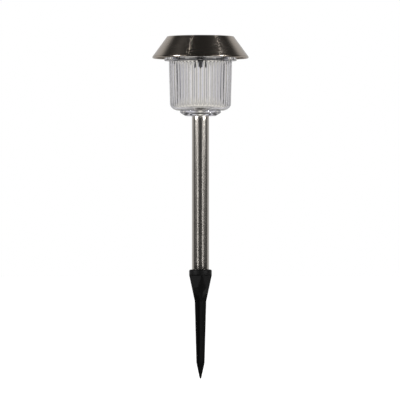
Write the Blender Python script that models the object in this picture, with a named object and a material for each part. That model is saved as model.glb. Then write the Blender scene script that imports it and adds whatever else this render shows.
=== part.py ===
"""Solar garden light: a stainless cap with a solar panel, a ribbed clear lens, a tube and a ground stake.

Metres, +Z up. The origin is on the light's axis at the ground line, where the stake's neck meets the soil.
"""

from math import cos, pi, radians, sin

import bmesh
import bpy
from mathutils import Matrix, Vector

# Fits
GAP = 0.0003  # between pieces that touch
SLIP = 0.00035  # radial clearance of a spigot in the tube
HOLE_SLACK = 0.0003  # radial clearance of a screw in its hole
SUNK = 0.0004  # how far a joined shape reaches into its wall

# Stake
STAKE_HEAD_HEIGHT = 0.0403
STAKE_COLLAR = 0.00345  # how far the head stands out past the tube
STAKE_HEAD_SHOULDER = 0.0073  # below the seat of the tube
STAKE_HEAD_ROUND = 0.0019
NECK_R = 0.00705
CONE_END = 0.0110  # the funnel runs into the blade's ribs here
BLADE_LENGTH = 0.0957
BLADE_MIDDLE = 0.0190
BLADE_MIDDLE_R = 0.0065
BLADE_SHOULDER_R = 0.0050
POINT_LENGTH = 0.0195
POINT_R = 0.0009
RIB = 0.0032
BLADE_TURN = radians(8)
STAKE_SPIGOT = 0.0260
STAKE_WALL = 0.0027
STAKE_CORE_DEPTH = 0.0400

# Tube
TUBE_R = 0.01065
TUBE_WALL = 0.0006
TUBE_LENGTH = 0.1940

# Lens
LENS_WALL = 0.0020
FLANGE_REACH = 0.0057  # out from the body's wall
FLANGE_T = 0.0040
FLANGE_EDGE = 0.0006
BODY_TOP_R = 0.0394
BODY_DRAFT = 0.0014
BODY_HEIGHT = 0.0621
FOOT_WIDE, FOOT_HIGH = 0.0123, 0.0087  # half axes of the rounded foot
STEP_IN = 0.0004  # from the rounded foot to the lower tier
TIER_DRAFT = 0.0055
TIER_HEIGHT = 0.0066
TIER_ROUND = 0.0016
WELL_WALL = 0.0073
WELL_FLOOR = 0.0026
RECESS_DEPTH = 0.0032
LENS_SPIGOT = 0.0180
SPIGOT_WALL = 0.0020
SPIGOT_EDGE = 0.0005
FLUTES = 48
FLUTE_DEPTH = 0.0005
FLUTE_MARGIN = 0.0030  # plain wall above the foot, below the flutes

# Bayonet
HOOKS_AT = (radians(90), radians(210), radians(330))
HOOK_WALL = 0.0015
LUG_REACH = 0.0020
LUG_CLEAR = 0.0005  # from a lug's end to the lens's wall
LUG_T = 0.0018
LUG_HALF = radians(12)
LEDGE_HALF = radians(18)
LEDGE_T = 0.0020
LEDGE_DROP = 0.0004
STOP_HALF = radians(1.5)
STOP_AWAY = radians(14.7)

# Cap
CAP_OVERHANG = 0.0149  # the rim, out past the lens's flange
CAP_TOP_IN = 0.0019  # the top's edge, in from the housing's wall
CAP_SHEET = 0.0006
CAP_EDGE = 0.0012
HEM_HEIGHT = 0.0012
HEM_T = 0.0014
RIM_ABOVE_FLANGE = 0.0033  # the cap's rim above the flange's lower face

# Housing and cover
SEAL_T = 0.0016
SEAL_WIDTH = 0.0036
SEAL_INSET = 0.0005  # from the mouth's edge
HOUSING_INSET = 0.0011  # from the flange's edge
HOUSING_WALL = 0.0016
ROOF_T = 0.0012
ROOF_TOP_BELOW_CAP = 0.0052
COVER_T = 0.0018
BOSS_R = 0.0030

# Solar panel
WINDOW_HALF = 0.0235
FRAME_LIP = 0.0020  # how far the frame's flange covers the cap round its window
FRAME_LIP_T = 0.0006
FRAME_WALL = 0.0018
FRAME_FLOOR = 0.0012
WINDOW_SLACK = 0.0004
PANEL_CORNER = 0.0070
PANEL_GLASS_T = 0.0012
CELL_T = 0.0004
PANEL_BOARD_T = 0.0016
GASKET_WALL = 0.0030

# Battery bay
CELL_R = 0.00725
CELL_LENGTH = 0.0505
NUB_R, NUB_LENGTH = 0.00275, 0.0010
COLLAR_CLEAR = 0.00065  # from the LED's collar to the door
HEADROOM = 0.0035  # above the cell
BAY_SLACK = 0.0007
DOOR_T = 0.0012
DOOR_LAP = 0.0008
DOOR_TAB_X, DOOR_TAB_OUT, DOOR_TAB_HALF = 0.0170, 0.00305, 0.0032
SPRING_LENGTH = 0.0040
SPRING_TURNS = 3
SPRING_WIRE = 0.0004
SPRING_WIDE, SPRING_NARROW = 0.0038, 0.0024
CONTACT_T = 0.0004
CONTACT_HALF = 0.0046
BAY_WALL = 0.0016

# Circuit
BOARD_T = 0.0016
BOARD_ABOVE_COVER = 0.0041
BOARD_HALF_X = 0.0200
BOARD_FRONT = -0.0270
BOARD_CLEAR = 0.00235  # from the cell
CHIP_AT, CHIP_SIZE = (0.0080, -0.0080), (0.0050, 0.0040, 0.0016)
INDUCTOR_AT, INDUCTOR_R, INDUCTOR_HEIGHT = (-0.0090, -0.0090), 0.0028, 0.0050
LEAD_R = 0.0006
PANEL_LEADS_Y = -0.0120
PANEL_LEADS_HALF = 0.0022
WIRE_SLOT = (0.0120, 0.0040)

# Switch
SWITCH_Y = -0.0170
SWITCH_TRAVEL = 0.0025
SWITCH_BODY = (0.0086, 0.0044)
KNOB_HALF_X, KNOB_HALF_Y = 0.0010, 0.0009
KNOB_OUT = 0.0026
KNOB_IN = 0.0017

# LED
LED_R = 0.0025
LED_FLANGE = 0.0004  # out past the LED's dome
LED_HEIGHT = 0.0086
LED_TIP_BELOW_COVER = 0.0161
LED_LEG = 0.0005
LED_LEG_X = 0.00127
COLLAR_WALL = 0.0016
COLLAR_SLEEVE_WALL = 0.0006  # of the sleeve round the LED's dome
COLLAR_SHOULDER = 0.0008  # thickness of the ledge under the LED's flange
COLLAR_NECK_WALL = 0.0010
COLLAR_NECK = 0.0036
COLLAR_MOUTH_ABOVE_TIP = 0.0024

# Screws
SCREW_R = 0.0012
SCREW_LENGTH = 0.0060
SCREW_HEAD_R, SCREW_HEAD_T = 0.0025, 0.0016
SCREW_DIMPLE_R, SCREW_DIMPLE = 0.0011, 0.0009
CAP_SCREWS_IN = 0.0039  # from the window's edge
COVER_SCREWS_IN = 0.0039  # from the hooks' outer face
COVER_SCREWS_AT = (radians(-5), radians(185), radians(270))
BOARD_SCREWS_X, BOARD_SCREWS_Y = 0.0120, -0.0225

# Heights that follow from the stack
SEAT_Z = STAKE_HEAD_HEIGHT
TUBE_Z = SEAT_Z + GAP
RECESS_Z = TUBE_Z + TUBE_LENGTH + GAP
LENS_Z = RECESS_Z - RECESS_DEPTH
FLANGE_LOW = TIER_HEIGHT + BODY_HEIGHT  # in the lens, from its foot
FLANGE_TOP = FLANGE_LOW + FLANGE_T
FLANGE_TOP_Z = LENS_Z + FLANGE_TOP
COVER_Z = FLANGE_TOP_Z + SEAL_T + 2 * GAP
COVER_TOP_Z = COVER_Z + COVER_T
DOOR_Z = COVER_Z - GAP - DOOR_T
BATTERY_Z = DOOR_Z + DOOR_T + GAP + CELL_R
ROOF_UNDER_Z = BATTERY_Z + CELL_R + HEADROOM
ROOF_Z = ROOF_UNDER_Z + ROOF_T
CAP_RIM_Z = LENS_Z + FLANGE_LOW + RIM_ABOVE_FLANGE
CAP_TOP_Z = ROOF_Z + ROOF_TOP_BELOW_CAP
CAP_HEIGHT = CAP_TOP_Z - CAP_RIM_Z
FRAME_Z = ROOF_Z + GAP
FRAME_FLOOR_Z = FRAME_Z + FRAME_FLOOR
FRAME_TOP_Z = CAP_TOP_Z + GAP + FRAME_LIP_T
PANEL_BOARD_Z = FRAME_FLOOR_Z + GAP
CELLS_Z = PANEL_BOARD_Z + PANEL_BOARD_T + GAP
PANEL_GLASS_Z = CELLS_Z + CELL_T + GAP
BOARD_Z = COVER_TOP_Z + BOARD_ABOVE_COVER
BOARD_TOP_Z = BOARD_Z + BOARD_T
LED_Z = COVER_Z - LED_TIP_BELOW_COVER

# Sizes that follow from others
TUBE_BORE_R = TUBE_R - TUBE_WALL
SPIGOT_R = TUBE_BORE_R - SLIP
RECESS_R = TUBE_R + SLIP
STAKE_HEAD_R = TUBE_R + STAKE_COLLAR
STAKE_CORE_R = SPIGOT_R - STAKE_WALL
BODY_LOW_R = BODY_TOP_R - BODY_DRAFT
FLANGE_R = BODY_TOP_R + FLANGE_REACH
MOUTH_R = BODY_TOP_R - LENS_WALL
TIER_R = BODY_LOW_R - FOOT_WIDE - STEP_IN
TIER_LOW_R = TIER_R - TIER_DRAFT
WELL_R = TIER_R - WELL_WALL
HOOK_R = MOUTH_R - LUG_CLEAR - LUG_REACH  # outer face of a hook's wall
SEAL_IN_R = MOUTH_R + SEAL_INSET
SEAL_OUT_R = SEAL_IN_R + SEAL_WIDTH
HOUSING_R = FLANGE_R - HOUSING_INSET
CAP_RIM_R = FLANGE_R + CAP_OVERHANG
CAP_TOP_R = HOUSING_R - CAP_TOP_IN
SCREW_HOLE_R = SCREW_R + HOLE_SLACK
FRAME_HALF = WINDOW_HALF - WINDOW_SLACK
POCKET_HALF = FRAME_HALF - FRAME_WALL
PANEL_HALF = POCKET_HALF - GAP
BAY_HALF_X = CELL_LENGTH / 2 + BAY_SLACK
BAY_HALF_Y = CELL_R + BAY_SLACK
LED_FLANGE_R = LED_R + LED_FLANGE
COLLAR_BORE_R = LED_FLANGE_R + GAP
COLLAR_R = COLLAR_BORE_R + COLLAR_WALL
COLLAR_SLEEVE_BORE_R = LED_R + GAP
COLLAR_SLEEVE_R = COLLAR_SLEEVE_BORE_R + COLLAR_SLEEVE_WALL
COLLAR_NECK_R = COLLAR_BORE_R + COLLAR_NECK_WALL
DOOR_FRONT = COLLAR_R + COLLAR_CLEAR
DOOR_TAB_Y = DOOR_FRONT - DOOR_TAB_OUT
BATTERY_Y = DOOR_FRONT + DOOR_LAP + BAY_HALF_Y
BOARD_BACK = BATTERY_Y - CELL_R - BOARD_CLEAR
CAP_SCREWS_AT = WINDOW_HALF - CAP_SCREWS_IN
COVER_SCREWS_R = HOOK_R - COVER_SCREWS_IN
PLUS_X = CELL_LENGTH / 2 + GAP
MINUS_X = -CELL_LENGTH / 2 - GAP - SPRING_LENGTH

ROUND, FINE, SMALL = 48, 2 * FLUTES, 12  # sides of a round piece
SMOOTH_UNDER = radians(35)


# --- Shared shapes -----------------------------------------------------------------------------------


def clear_scene():
    for thing in list(bpy.data.objects):
        bpy.data.objects.remove(thing, do_unlink=True)


def material(name, colour, roughness, metallic=0.0, transmission=0.0):
    """A Principled material with a plain colour."""
    found = bpy.data.materials.new(name)
    found.use_nodes = True
    shader = found.node_tree.nodes["Principled BSDF"]
    shader.inputs["Base Color"].default_value = (*colour, 1.0)
    shader.inputs["Roughness"].default_value = roughness
    shader.inputs["Metallic"].default_value = metallic
    shader.inputs["Transmission Weight"].default_value = transmission
    return found


def empty(name, location, parent=None):
    """An empty that carries one moving body, at a point on its joint's axis."""
    carrier = bpy.data.objects.new(name, None)
    bpy.context.collection.objects.link(carrier)
    place(carrier, parent, location)
    return carrier


def world_of(thing):
    """The world position of an object whose parents are all unturned."""
    here = Vector(thing.location)
    while thing.parent:
        thing = thing.parent
        here += thing.location
    return here


def place(thing, parent, location):
    """Sets a world position on an object, under its parent."""
    thing.parent = parent
    thing.location = Vector(location) - (world_of(parent) if parent else Vector())


def add(name, bm, finish, parent, location=(0, 0, 0)):
    """Makes an object of a bmesh, with its faces pointing out."""
    bmesh.ops.recalc_face_normals(bm, faces=bm.faces)
    mesh = bpy.data.meshes.new(name)
    bm.to_mesh(mesh)
    bm.free()
    mesh.shade_smooth()
    mesh.set_sharp_from_angle(angle=SMOOTH_UNDER)
    if finish:
        mesh.materials.append(finish)
    thing = bpy.data.objects.new(name, mesh)
    bpy.context.collection.objects.link(thing)
    place(thing, parent, location)
    return thing


def helper(name, bm, parent, location=(0, 0, 0)):
    """An object that only serves a Boolean."""
    thing = add(name, bm, None, parent, location)
    thing.hide_render = True
    thing.display_type = "WIRE"
    return thing


def boolean(thing, other, operation):
    step = thing.modifiers.new(operation.lower(), "BOOLEAN")
    step.operation = operation
    step.object = other
    step.solver = "EXACT"


def arc(centre, wide, high, start, end, steps):
    """Points of an ellipse's arc in the (r, z) plane, both ends included."""
    angles = [start + (end - start) * i / steps for i in range(steps + 1)]
    return [(centre[0] + wide * cos(a), centre[1] + high * sin(a)) for a in angles]


def turn(bm, profile, sides, closed):
    """Spins an (r, z) profile about Z. A closed one makes a ring, and an open one starts and ends on Z."""
    corners = [bm.verts.new((r, 0, z)) for r, z in profile]
    pairs = zip(corners, corners[1:] + corners[:1]) if closed else zip(corners, corners[1:])
    edges = [bm.edges.new(pair) for pair in pairs]
    bmesh.ops.spin(
        bm, geom=corners + edges, cent=(0, 0, 0), axis=(0, 0, 1), angle=2 * pi, steps=sides
    )
    bmesh.ops.remove_doubles(bm, verts=bm.verts, dist=1e-6)


def turned(profile, sides=ROUND, closed=False):
    bm = bmesh.new()
    turn(bm, profile, sides, closed)
    return bm


def turn_about(bm, angle, axis):
    """Turns all of a bmesh about an axis through its origin."""
    bmesh.ops.rotate(bm, verts=bm.verts, cent=(0, 0, 0), matrix=Matrix.Rotation(angle, 3, axis))


def box(bm, low, high):
    """Adds a box between two corners."""
    made = bmesh.ops.create_cube(bm, size=1)["verts"]
    low, high = Vector(low), Vector(high)
    bmesh.ops.scale(bm, verts=made, vec=high - low)
    bmesh.ops.translate(bm, verts=made, vec=(low + high) / 2)


def rod(bm, centre, radius, low, high, sides=SMALL):
    """Adds an upright cylinder."""
    made = bmesh.ops.create_cone(
        bm, cap_ends=True, segments=sides, radius1=radius, radius2=radius, depth=high - low
    )["verts"]
    bmesh.ops.translate(bm, verts=made, vec=(centre[0], centre[1], (low + high) / 2))


def prism(bm, outline, low, high):
    """Adds an upright solid over a flat outline of (x, y) points."""
    base = bm.faces.new([bm.verts.new((x, y, low)) for x, y in outline])
    top = bmesh.ops.extrude_face_region(bm, geom=[base])["geom"]
    moved = [part for part in top if isinstance(part, bmesh.types.BMVert)]
    bmesh.ops.translate(bm, verts=moved, vec=(0, 0, high - low))


def cut_square(half, corner):
    """The outline of a square with its corners cut off."""
    near = half - corner
    points = [(half, near), (near, half)]
    return [
        (x * cos(turns) - y * sin(turns), x * sin(turns) + y * cos(turns))
        for turns in (0, pi / 2, pi, 3 * pi / 2)
        for x, y in points
    ]


def ring_piece(inner, outer, middle, half, steps=6):
    """The outline of part of a ring, about the azimuth middle."""
    angles = [middle - half + 2 * half * i / steps for i in range(steps + 1)]
    out = [(outer * cos(a), outer * sin(a)) for a in angles]
    back = [(inner * cos(a), inner * sin(a)) for a in reversed(angles)]
    return out + back


def polar(radius, azimuth):
    return radius * cos(azimuth), radius * sin(azimuth)


def lead(name, route, finish, parent, wire=LEAD_R):
    """A round wire along a poly spline through world points, with filled ends."""
    base = world_of(parent)
    curve = bpy.data.curves.new(name, "CURVE")
    curve.dimensions = "3D"
    curve.bevel_depth = wire
    curve.bevel_resolution = 1
    curve.use_fill_caps = True
    spline = curve.splines.new("POLY")
    spline.points.add(len(route) - 1)
    for point, at in zip(spline.points, route):
        point.co = (*(at - base), 1.0)
    curve.materials.append(finish)
    thing = bpy.data.objects.new(name, curve)
    bpy.context.collection.objects.link(thing)
    place(thing, parent, base)
    return thing


def eased(points, per_span=4):
    """Points of a smooth Catmull-Rom curve through the given ones."""
    points = [Vector(p) for p in points]
    points = [2 * points[0] - points[1], *points, 2 * points[-1] - points[-2]]
    smooth = []
    for before, start, end, after in zip(points, points[1:], points[2:], points[3:]):
        for i in range(per_span):
            t = i / per_span
            smooth.append(
                start
                + 0.5 * t * (end - before)
                + t**2 * (before - 2.5 * start + 2 * end - 0.5 * after)
                + t**3 * (1.5 * (start - end) + 0.5 * (after - before))
            )
    return smooth + [points[-2]]


# --- Stake and tube ----------------------------------------------------------------------------------


def funnel_r(z):
    """The funnel's radius at a height above the ground line."""
    shoulder = STAKE_HEAD_HEIGHT - STAKE_HEAD_SHOULDER
    return NECK_R + (STAKE_HEAD_R - NECK_R) * z / shoulder


def plus_outline(reach, rib):
    """The twelve corners of a cross."""
    half = rib / 2
    corner = [(half, half), (reach, half), (reach, -half)]
    return [
        (x * cos(a) + y * sin(a), y * cos(a) - x * sin(a))
        for a in (0, pi / 2, pi, 3 * pi / 2)
        for x, y in corner
    ]


def stake_blade():
    """The crossed ribs from inside the funnel down to the point."""
    shoulder_z = POINT_LENGTH - BLADE_LENGTH
    levels = [
        (CONE_END + NECK_R, funnel_r(CONE_END + NECK_R) - SUNK, RIB),
        (CONE_END, funnel_r(CONE_END) - GAP / 3, RIB),
        (0, NECK_R, RIB),
        (-BLADE_MIDDLE, BLADE_MIDDLE_R, RIB),
        (shoulder_z, BLADE_SHOULDER_R, RIB),
        (-BLADE_LENGTH, POINT_R, POINT_R),
    ]
    bm = bmesh.new()
    rings = []
    for z, reach, rib in levels:
        outline = [Vector((x, y, z)) for x, y in plus_outline(reach, rib)]
        rings.append([bm.verts.new(corner) for corner in outline])
    for upper, lower in zip(rings, rings[1:]):
        for i in range(len(upper)):
            j = (i + 1) % len(upper)
            bm.faces.new((upper[i], upper[j], lower[j], lower[i]))
    bm.faces.new(rings[0])
    bm.faces.new(rings[-1])
    turn_about(bm, BLADE_TURN, "Z")
    return bm


def make_stake(carrier, black):
    spigot_top = STAKE_HEAD_HEIGHT + STAKE_SPIGOT
    core_floor = spigot_top - STAKE_CORE_DEPTH
    shoulder = STAKE_HEAD_HEIGHT - STAKE_HEAD_SHOULDER
    profile = [
        (0, core_floor),
        (STAKE_CORE_R, core_floor),
        (STAKE_CORE_R, spigot_top),
        (SPIGOT_R - SPIGOT_EDGE, spigot_top),
        (SPIGOT_R, spigot_top - SPIGOT_EDGE),
        (SPIGOT_R, STAKE_HEAD_HEIGHT),
        (TUBE_R, STAKE_HEAD_HEIGHT),
        (STAKE_HEAD_R - SPIGOT_EDGE, STAKE_HEAD_HEIGHT - STAKE_HEAD_ROUND),
        (STAKE_HEAD_R, (STAKE_HEAD_HEIGHT - STAKE_HEAD_ROUND + shoulder) / 2),
        (funnel_r(shoulder), shoulder),
        (funnel_r(CONE_END), CONE_END),
        (RIB, -RIB),
        (0, -RIB - SPIGOT_EDGE),
    ]
    stake = add("stake", turned(profile), black, carrier)
    boolean(stake, helper("stake_blade_cut", stake_blade(), carrier), "UNION")


def make_tube(carrier, steel):
    profile = [(TUBE_R, TUBE_LENGTH), (TUBE_R, 0), (TUBE_BORE_R, 0), (TUBE_BORE_R, TUBE_LENGTH)]
    add("tube", turned(profile, closed=True), steel, carrier, (0, 0, TUBE_Z))


# --- Lens --------------------------------------------------------------------------------------------


def lens_outside():
    """The lens's outer wall, from the mouth down to the spigot's bore."""
    foot = (BODY_LOW_R - FOOT_WIDE, TIER_HEIGHT + FOOT_HIGH)
    spigot_end = RECESS_DEPTH - LENS_SPIGOT
    bore_r = SPIGOT_R - SPIGOT_WALL
    return [
        (MOUTH_R, FLANGE_TOP),
        (FLANGE_R, FLANGE_TOP),
        (FLANGE_R, FLANGE_LOW + FLANGE_EDGE),
        (FLANGE_R - FLANGE_EDGE, FLANGE_LOW),
        (BODY_TOP_R, FLANGE_LOW),
        *arc(foot, FOOT_WIDE, FOOT_HIGH, 0, -pi / 2, 3),
        (TIER_R, TIER_HEIGHT - GAP),
        (TIER_R - GAP, TIER_HEIGHT - TIER_ROUND),
        (TIER_R - TIER_ROUND, TIER_HEIGHT - 2 * TIER_ROUND),
        (TIER_LOW_R, 0),
        (RECESS_R, 0),
        (RECESS_R, RECESS_DEPTH),
        (SPIGOT_R, RECESS_DEPTH),
        (SPIGOT_R, spigot_end + SPIGOT_EDGE),
        (SPIGOT_R - SPIGOT_EDGE, spigot_end),
        (bore_r, spigot_end),
        (bore_r, RECESS_DEPTH),
        (0, RECESS_DEPTH),
    ]


def lens_inside():
    """The lens's inner wall, from the floor of its well up to the mouth."""
    foot_top = TIER_HEIGHT + FOOT_HIGH
    inner_foot = (BODY_LOW_R - FOOT_WIDE, foot_top)
    inner_wide, inner_high = FOOT_WIDE - LENS_WALL, FOOT_HIGH - LENS_WALL
    floor = RECESS_DEPTH + WELL_FLOOR
    flutes_top = FLANGE_LOW - 2 * FLANGE_EDGE
    return [
        (0, floor),
        (WELL_R, floor),
        (WELL_R, TIER_HEIGHT + LENS_WALL),
        *arc(inner_foot, inner_wide, inner_high, -pi / 2, 0, 2),
        (body_r(foot_top + FLUTE_MARGIN) - LENS_WALL, foot_top + FLUTE_MARGIN),
        (body_r(flutes_top) - LENS_WALL, flutes_top),
        (MOUTH_R, FLANGE_LOW - FLANGE_EDGE),
    ]


def body_r(z):
    """The drafted body's outer radius at a height in the lens."""
    low = TIER_HEIGHT + FOOT_HIGH
    return BODY_LOW_R + (BODY_TOP_R - BODY_LOW_R) * (z - low) / (FLANGE_LOW - low)


def raise_flutes(bm):
    """Moves every second edge of the inner wall inwards, which makes V-shaped flutes."""
    low = TIER_HEIGHT + FOOT_HIGH + FLUTE_MARGIN
    high = FLANGE_LOW - 2 * FLANGE_EDGE
    for corner in bm.verts:
        radius = corner.co.xy.length
        inner = body_r(corner.co.z) - LENS_WALL
        if not low - GAP < corner.co.z < high + GAP or abs(radius - inner) > GAP:
            continue
        step = round(corner.co.xy.angle_signed(Vector((1, 0))) / (2 * pi) * FINE)
        if step % 2 == 0:
            corner.co.xy *= (radius - FLUTE_DEPTH) / radius


def make_lens(carrier, clear):
    profile = lens_inside() + lens_outside()
    bm = turned(profile, FINE)
    raise_flutes(bm)
    lens = add("lens", bm, clear, carrier, (0, 0, LENS_Z))
    bm = bmesh.new()
    wall = MOUTH_R + SUNK
    inner = HOOK_R + SUNK
    ledge_top = FLANGE_TOP - LEDGE_DROP
    ledge_low = ledge_top - LEDGE_T
    for middle in HOOKS_AT:
        prism(bm, ring_piece(inner, wall, middle, LEDGE_HALF), ledge_low, ledge_top)
    boolean(lens, helper("lens_ledges_cut", bm, carrier, (0, 0, LENS_Z)), "UNION")
    bm = bmesh.new()
    for middle in HOOKS_AT:
        stop = ring_piece(inner, wall, middle - STOP_AWAY, STOP_HALF, 1)
        prism(bm, stop, FLANGE_LOW, ledge_low + SUNK)
    boolean(lens, helper("lens_stops_cut", bm, carrier, (0, 0, LENS_Z)), "UNION")


# --- Cap and solar panel -----------------------------------------------------------------------------


def make_cap(carrier, steel):
    """A cut-off cone of thin sheet with a rolled edge on top, a hemmed rim and a window for the panel."""
    hem_top = HEM_HEIGHT + HEM_T
    run = Vector((CAP_RIM_R - CAP_TOP_R, CAP_HEIGHT - hem_top - CAP_EDGE))
    lean = run.angle(Vector((0, 1)))
    edge = (CAP_TOP_R - CAP_EDGE, CAP_HEIGHT - CAP_EDGE)
    within = CAP_EDGE - CAP_SHEET
    profile = [
        (0, CAP_HEIGHT),
        *arc(edge, CAP_EDGE, CAP_EDGE, pi / 2, lean, 3),
        (CAP_RIM_R - GAP, hem_top),
        (CAP_RIM_R, HEM_HEIGHT),
        (CAP_RIM_R, GAP),
        (CAP_RIM_R - GAP, 0),
        (CAP_RIM_R - HEM_T, 0),
        (CAP_RIM_R - HEM_T, hem_top),
        *arc(edge, within, within, lean, pi / 2, 2),
        (0, CAP_HEIGHT - CAP_SHEET),
    ]
    cap = add("cap_shell", turned(profile), steel, carrier, (0, 0, CAP_RIM_Z))
    bm = bmesh.new()
    prism(bm, cut_square(WINDOW_HALF, FRAME_WALL), -CAP_SHEET * 3, CAP_SHEET * 2)
    boolean(cap, helper("cap_window_cut", bm, carrier, (0, 0, CAP_TOP_Z)), "DIFFERENCE")


def make_panel(carrier, plastic, glass, silicon, board, rubber):
    """The solar panel in its frame, and the gasket under the cap round it."""
    bm = bmesh.new()
    prism(bm, cut_square(FRAME_HALF, FRAME_WALL), FRAME_Z, FRAME_TOP_Z)
    frame = add("panel_frame", bm, plastic, carrier)
    bm = bmesh.new()
    prism(bm, cut_square(WINDOW_HALF + FRAME_LIP, FRAME_WALL), CAP_TOP_Z + GAP, FRAME_TOP_Z)
    boolean(frame, helper("panel_frame_lip_cut", bm, carrier), "UNION")
    bm = bmesh.new()
    prism(bm, cut_square(POCKET_HALF, PANEL_CORNER), FRAME_FLOOR_Z, FRAME_TOP_Z + ROOF_T)
    boolean(frame, helper("panel_pocket_cut", bm, carrier), "DIFFERENCE")
    bm = bmesh.new()
    screws_end = ROOF_UNDER_Z - GAP + SCREW_LENGTH
    for x, y in corners_at(CAP_SCREWS_AT):
        rod(bm, (x, y), SCREW_HOLE_R, FRAME_Z - ROOF_T, screws_end + GAP)
    wire_slot(bm, FRAME_Z - ROOF_T, FRAME_FLOOR_Z + ROOF_T)
    boolean(frame, helper("panel_frame_holes_cut", bm, carrier), "DIFFERENCE")

    for name, finish, low, thick in (
        ("panel_board", board, PANEL_BOARD_Z, PANEL_BOARD_T),
        ("solar_cells", silicon, CELLS_Z, CELL_T),
        ("panel_glass", glass, PANEL_GLASS_Z, PANEL_GLASS_T),
    ):
        bm = bmesh.new()
        prism(bm, cut_square(PANEL_HALF, PANEL_CORNER), 0, thick)
        add(name, bm, finish, carrier, (0, 0, low))

    gasket_top = CAP_TOP_Z - CAP_SHEET - GAP
    inner = FRAME_HALF + GAP
    bm = bmesh.new()
    prism(bm, cut_square(inner + GASKET_WALL, FRAME_WALL), ROOF_Z + GAP, gasket_top)
    gasket = add("panel_gasket", bm, rubber, carrier)
    bm = bmesh.new()
    prism(bm, cut_square(inner, FRAME_WALL), ROOF_Z - ROOF_T, gasket_top + ROOF_T)
    boolean(gasket, helper("gasket_inside_cut", bm, carrier), "DIFFERENCE")


def corners_at(half):
    return [(x, y) for x in (-half, half) for y in (-half, half)]


def wire_slot(bm, low, high):
    """Adds the slot that the panel's two leads come down through."""
    half_x, half_y = WIRE_SLOT[0] / 2, WIRE_SLOT[1] / 2
    box(bm, (-half_x, PANEL_LEADS_Y - half_y, low), (half_x, PANEL_LEADS_Y + half_y, high))


# --- Housing -----------------------------------------------------------------------------------------


def make_housing(carrier, plastic):
    """An inverted cup with screw bosses and the two end walls of the battery bay."""
    inner = HOUSING_R - HOUSING_WALL
    profile = [
        (0, ROOF_Z),
        (HOUSING_R - HOUSING_WALL / 2, ROOF_Z),
        (HOUSING_R, ROOF_Z - HOUSING_WALL / 2),
        (HOUSING_R, COVER_Z),
        (inner, COVER_Z),
        (inner, ROOF_UNDER_Z),
        (0, ROOF_UNDER_Z),
    ]
    housing = add("head_housing", turned(profile), plastic, carrier)
    bm = bmesh.new()
    into = ROOF_UNDER_Z + SUNK
    for azimuth in COVER_SCREWS_AT:
        rod(bm, polar(COVER_SCREWS_R, azimuth), BOSS_R, COVER_TOP_Z + GAP, into)
    for x in (-BOARD_SCREWS_X, BOARD_SCREWS_X):
        rod(bm, (x, BOARD_SCREWS_Y), BOSS_R, BOARD_TOP_Z + GAP, into)
    for near in (PLUS_X + CONTACT_T + GAP, MINUS_X - GAP - BAY_WALL):
        low = (near, BATTERY_Y - CONTACT_HALF, COVER_TOP_Z + GAP)
        box(bm, low, (near + BAY_WALL, BATTERY_Y + CONTACT_HALF, into))
    boolean(housing, helper("housing_ribs_cut", bm, carrier), "UNION")
    bm = bmesh.new()
    for azimuth in COVER_SCREWS_AT:
        end = COVER_Z - GAP + SCREW_LENGTH + GAP
        rod(bm, polar(COVER_SCREWS_R, azimuth), SCREW_HOLE_R, COVER_TOP_Z - ROOF_T, end)
    for x in (-BOARD_SCREWS_X, BOARD_SCREWS_X):
        end = BOARD_Z + SCREW_LENGTH
        rod(bm, (x, BOARD_SCREWS_Y), SCREW_HOLE_R, BOARD_TOP_Z - ROOF_T, end)
    for x, y in corners_at(CAP_SCREWS_AT):
        rod(bm, (x, y), SCREW_HOLE_R, ROOF_UNDER_Z - ROOF_T, ROOF_Z + ROOF_T)
    wire_slot(bm, ROOF_UNDER_Z - ROOF_T, ROOF_Z + ROOF_T)
    boolean(housing, helper("housing_holes_cut", bm, carrier), "DIFFERENCE")


def make_cover(carrier, plastic):
    """The housing's floor, with three bayonet hooks under it and the battery bay's opening."""
    radius = HOUSING_R - HOUSING_WALL - GAP
    cover = add(
        "housing_cover",
        turned([(0, COVER_TOP_Z), (radius, COVER_TOP_Z), (radius, COVER_Z), (0, COVER_Z)]),
        plastic,
        carrier,
    )
    lug_top = FLANGE_TOP_Z - LEDGE_DROP - LEDGE_T - GAP
    lug_low = lug_top - LUG_T
    inner = HOOK_R - HOOK_WALL
    bm = bmesh.new()
    for middle in HOOKS_AT:
        prism(bm, ring_piece(inner, HOOK_R, middle, LUG_HALF), lug_low, COVER_Z + SUNK)
    for x in (-DOOR_TAB_X, DOOR_TAB_X):
        top = COVER_TOP_Z + SCREW_R * 2
        rod(bm, (x, DOOR_TAB_Y), BOSS_R - SUNK, COVER_TOP_Z - SUNK, top)
    boolean(cover, helper("cover_hooks_cut", bm, carrier), "UNION")
    bm = bmesh.new()
    for middle in HOOKS_AT:
        lug = ring_piece(HOOK_R - SUNK, HOOK_R + LUG_REACH, middle, LUG_HALF * 0.999)
        prism(bm, lug, lug_low + GAP / 3, lug_top)
    boolean(cover, helper("cover_lugs_cut", bm, carrier), "UNION")

    low, high = COVER_Z - ROOF_T, COVER_TOP_Z + ROOF_T
    bm = bmesh.new()
    box(
        bm,
        (-BAY_HALF_X, BATTERY_Y - BAY_HALF_Y, low),
        (BAY_HALF_X, BATTERY_Y + BAY_HALF_Y, high),
    )
    rod(bm, (0, 0), COLLAR_NECK_R + GAP, low, high, ROUND // 2)
    slot_x = SWITCH_TRAVEL / 2 + KNOB_HALF_X + GAP
    slot_y = KNOB_HALF_Y + GAP
    box(bm, (-slot_x, SWITCH_Y - slot_y, low), (slot_x, SWITCH_Y + slot_y, high))
    for azimuth in COVER_SCREWS_AT:
        rod(bm, polar(COVER_SCREWS_R, azimuth), SCREW_HOLE_R, low, high)
    for x in (-DOOR_TAB_X, DOOR_TAB_X):
        rod(bm, (x, DOOR_TAB_Y), SCREW_HOLE_R, low, high + BOSS_R)
    boolean(cover, helper("cover_holes_cut", bm, carrier), "DIFFERENCE")


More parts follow.
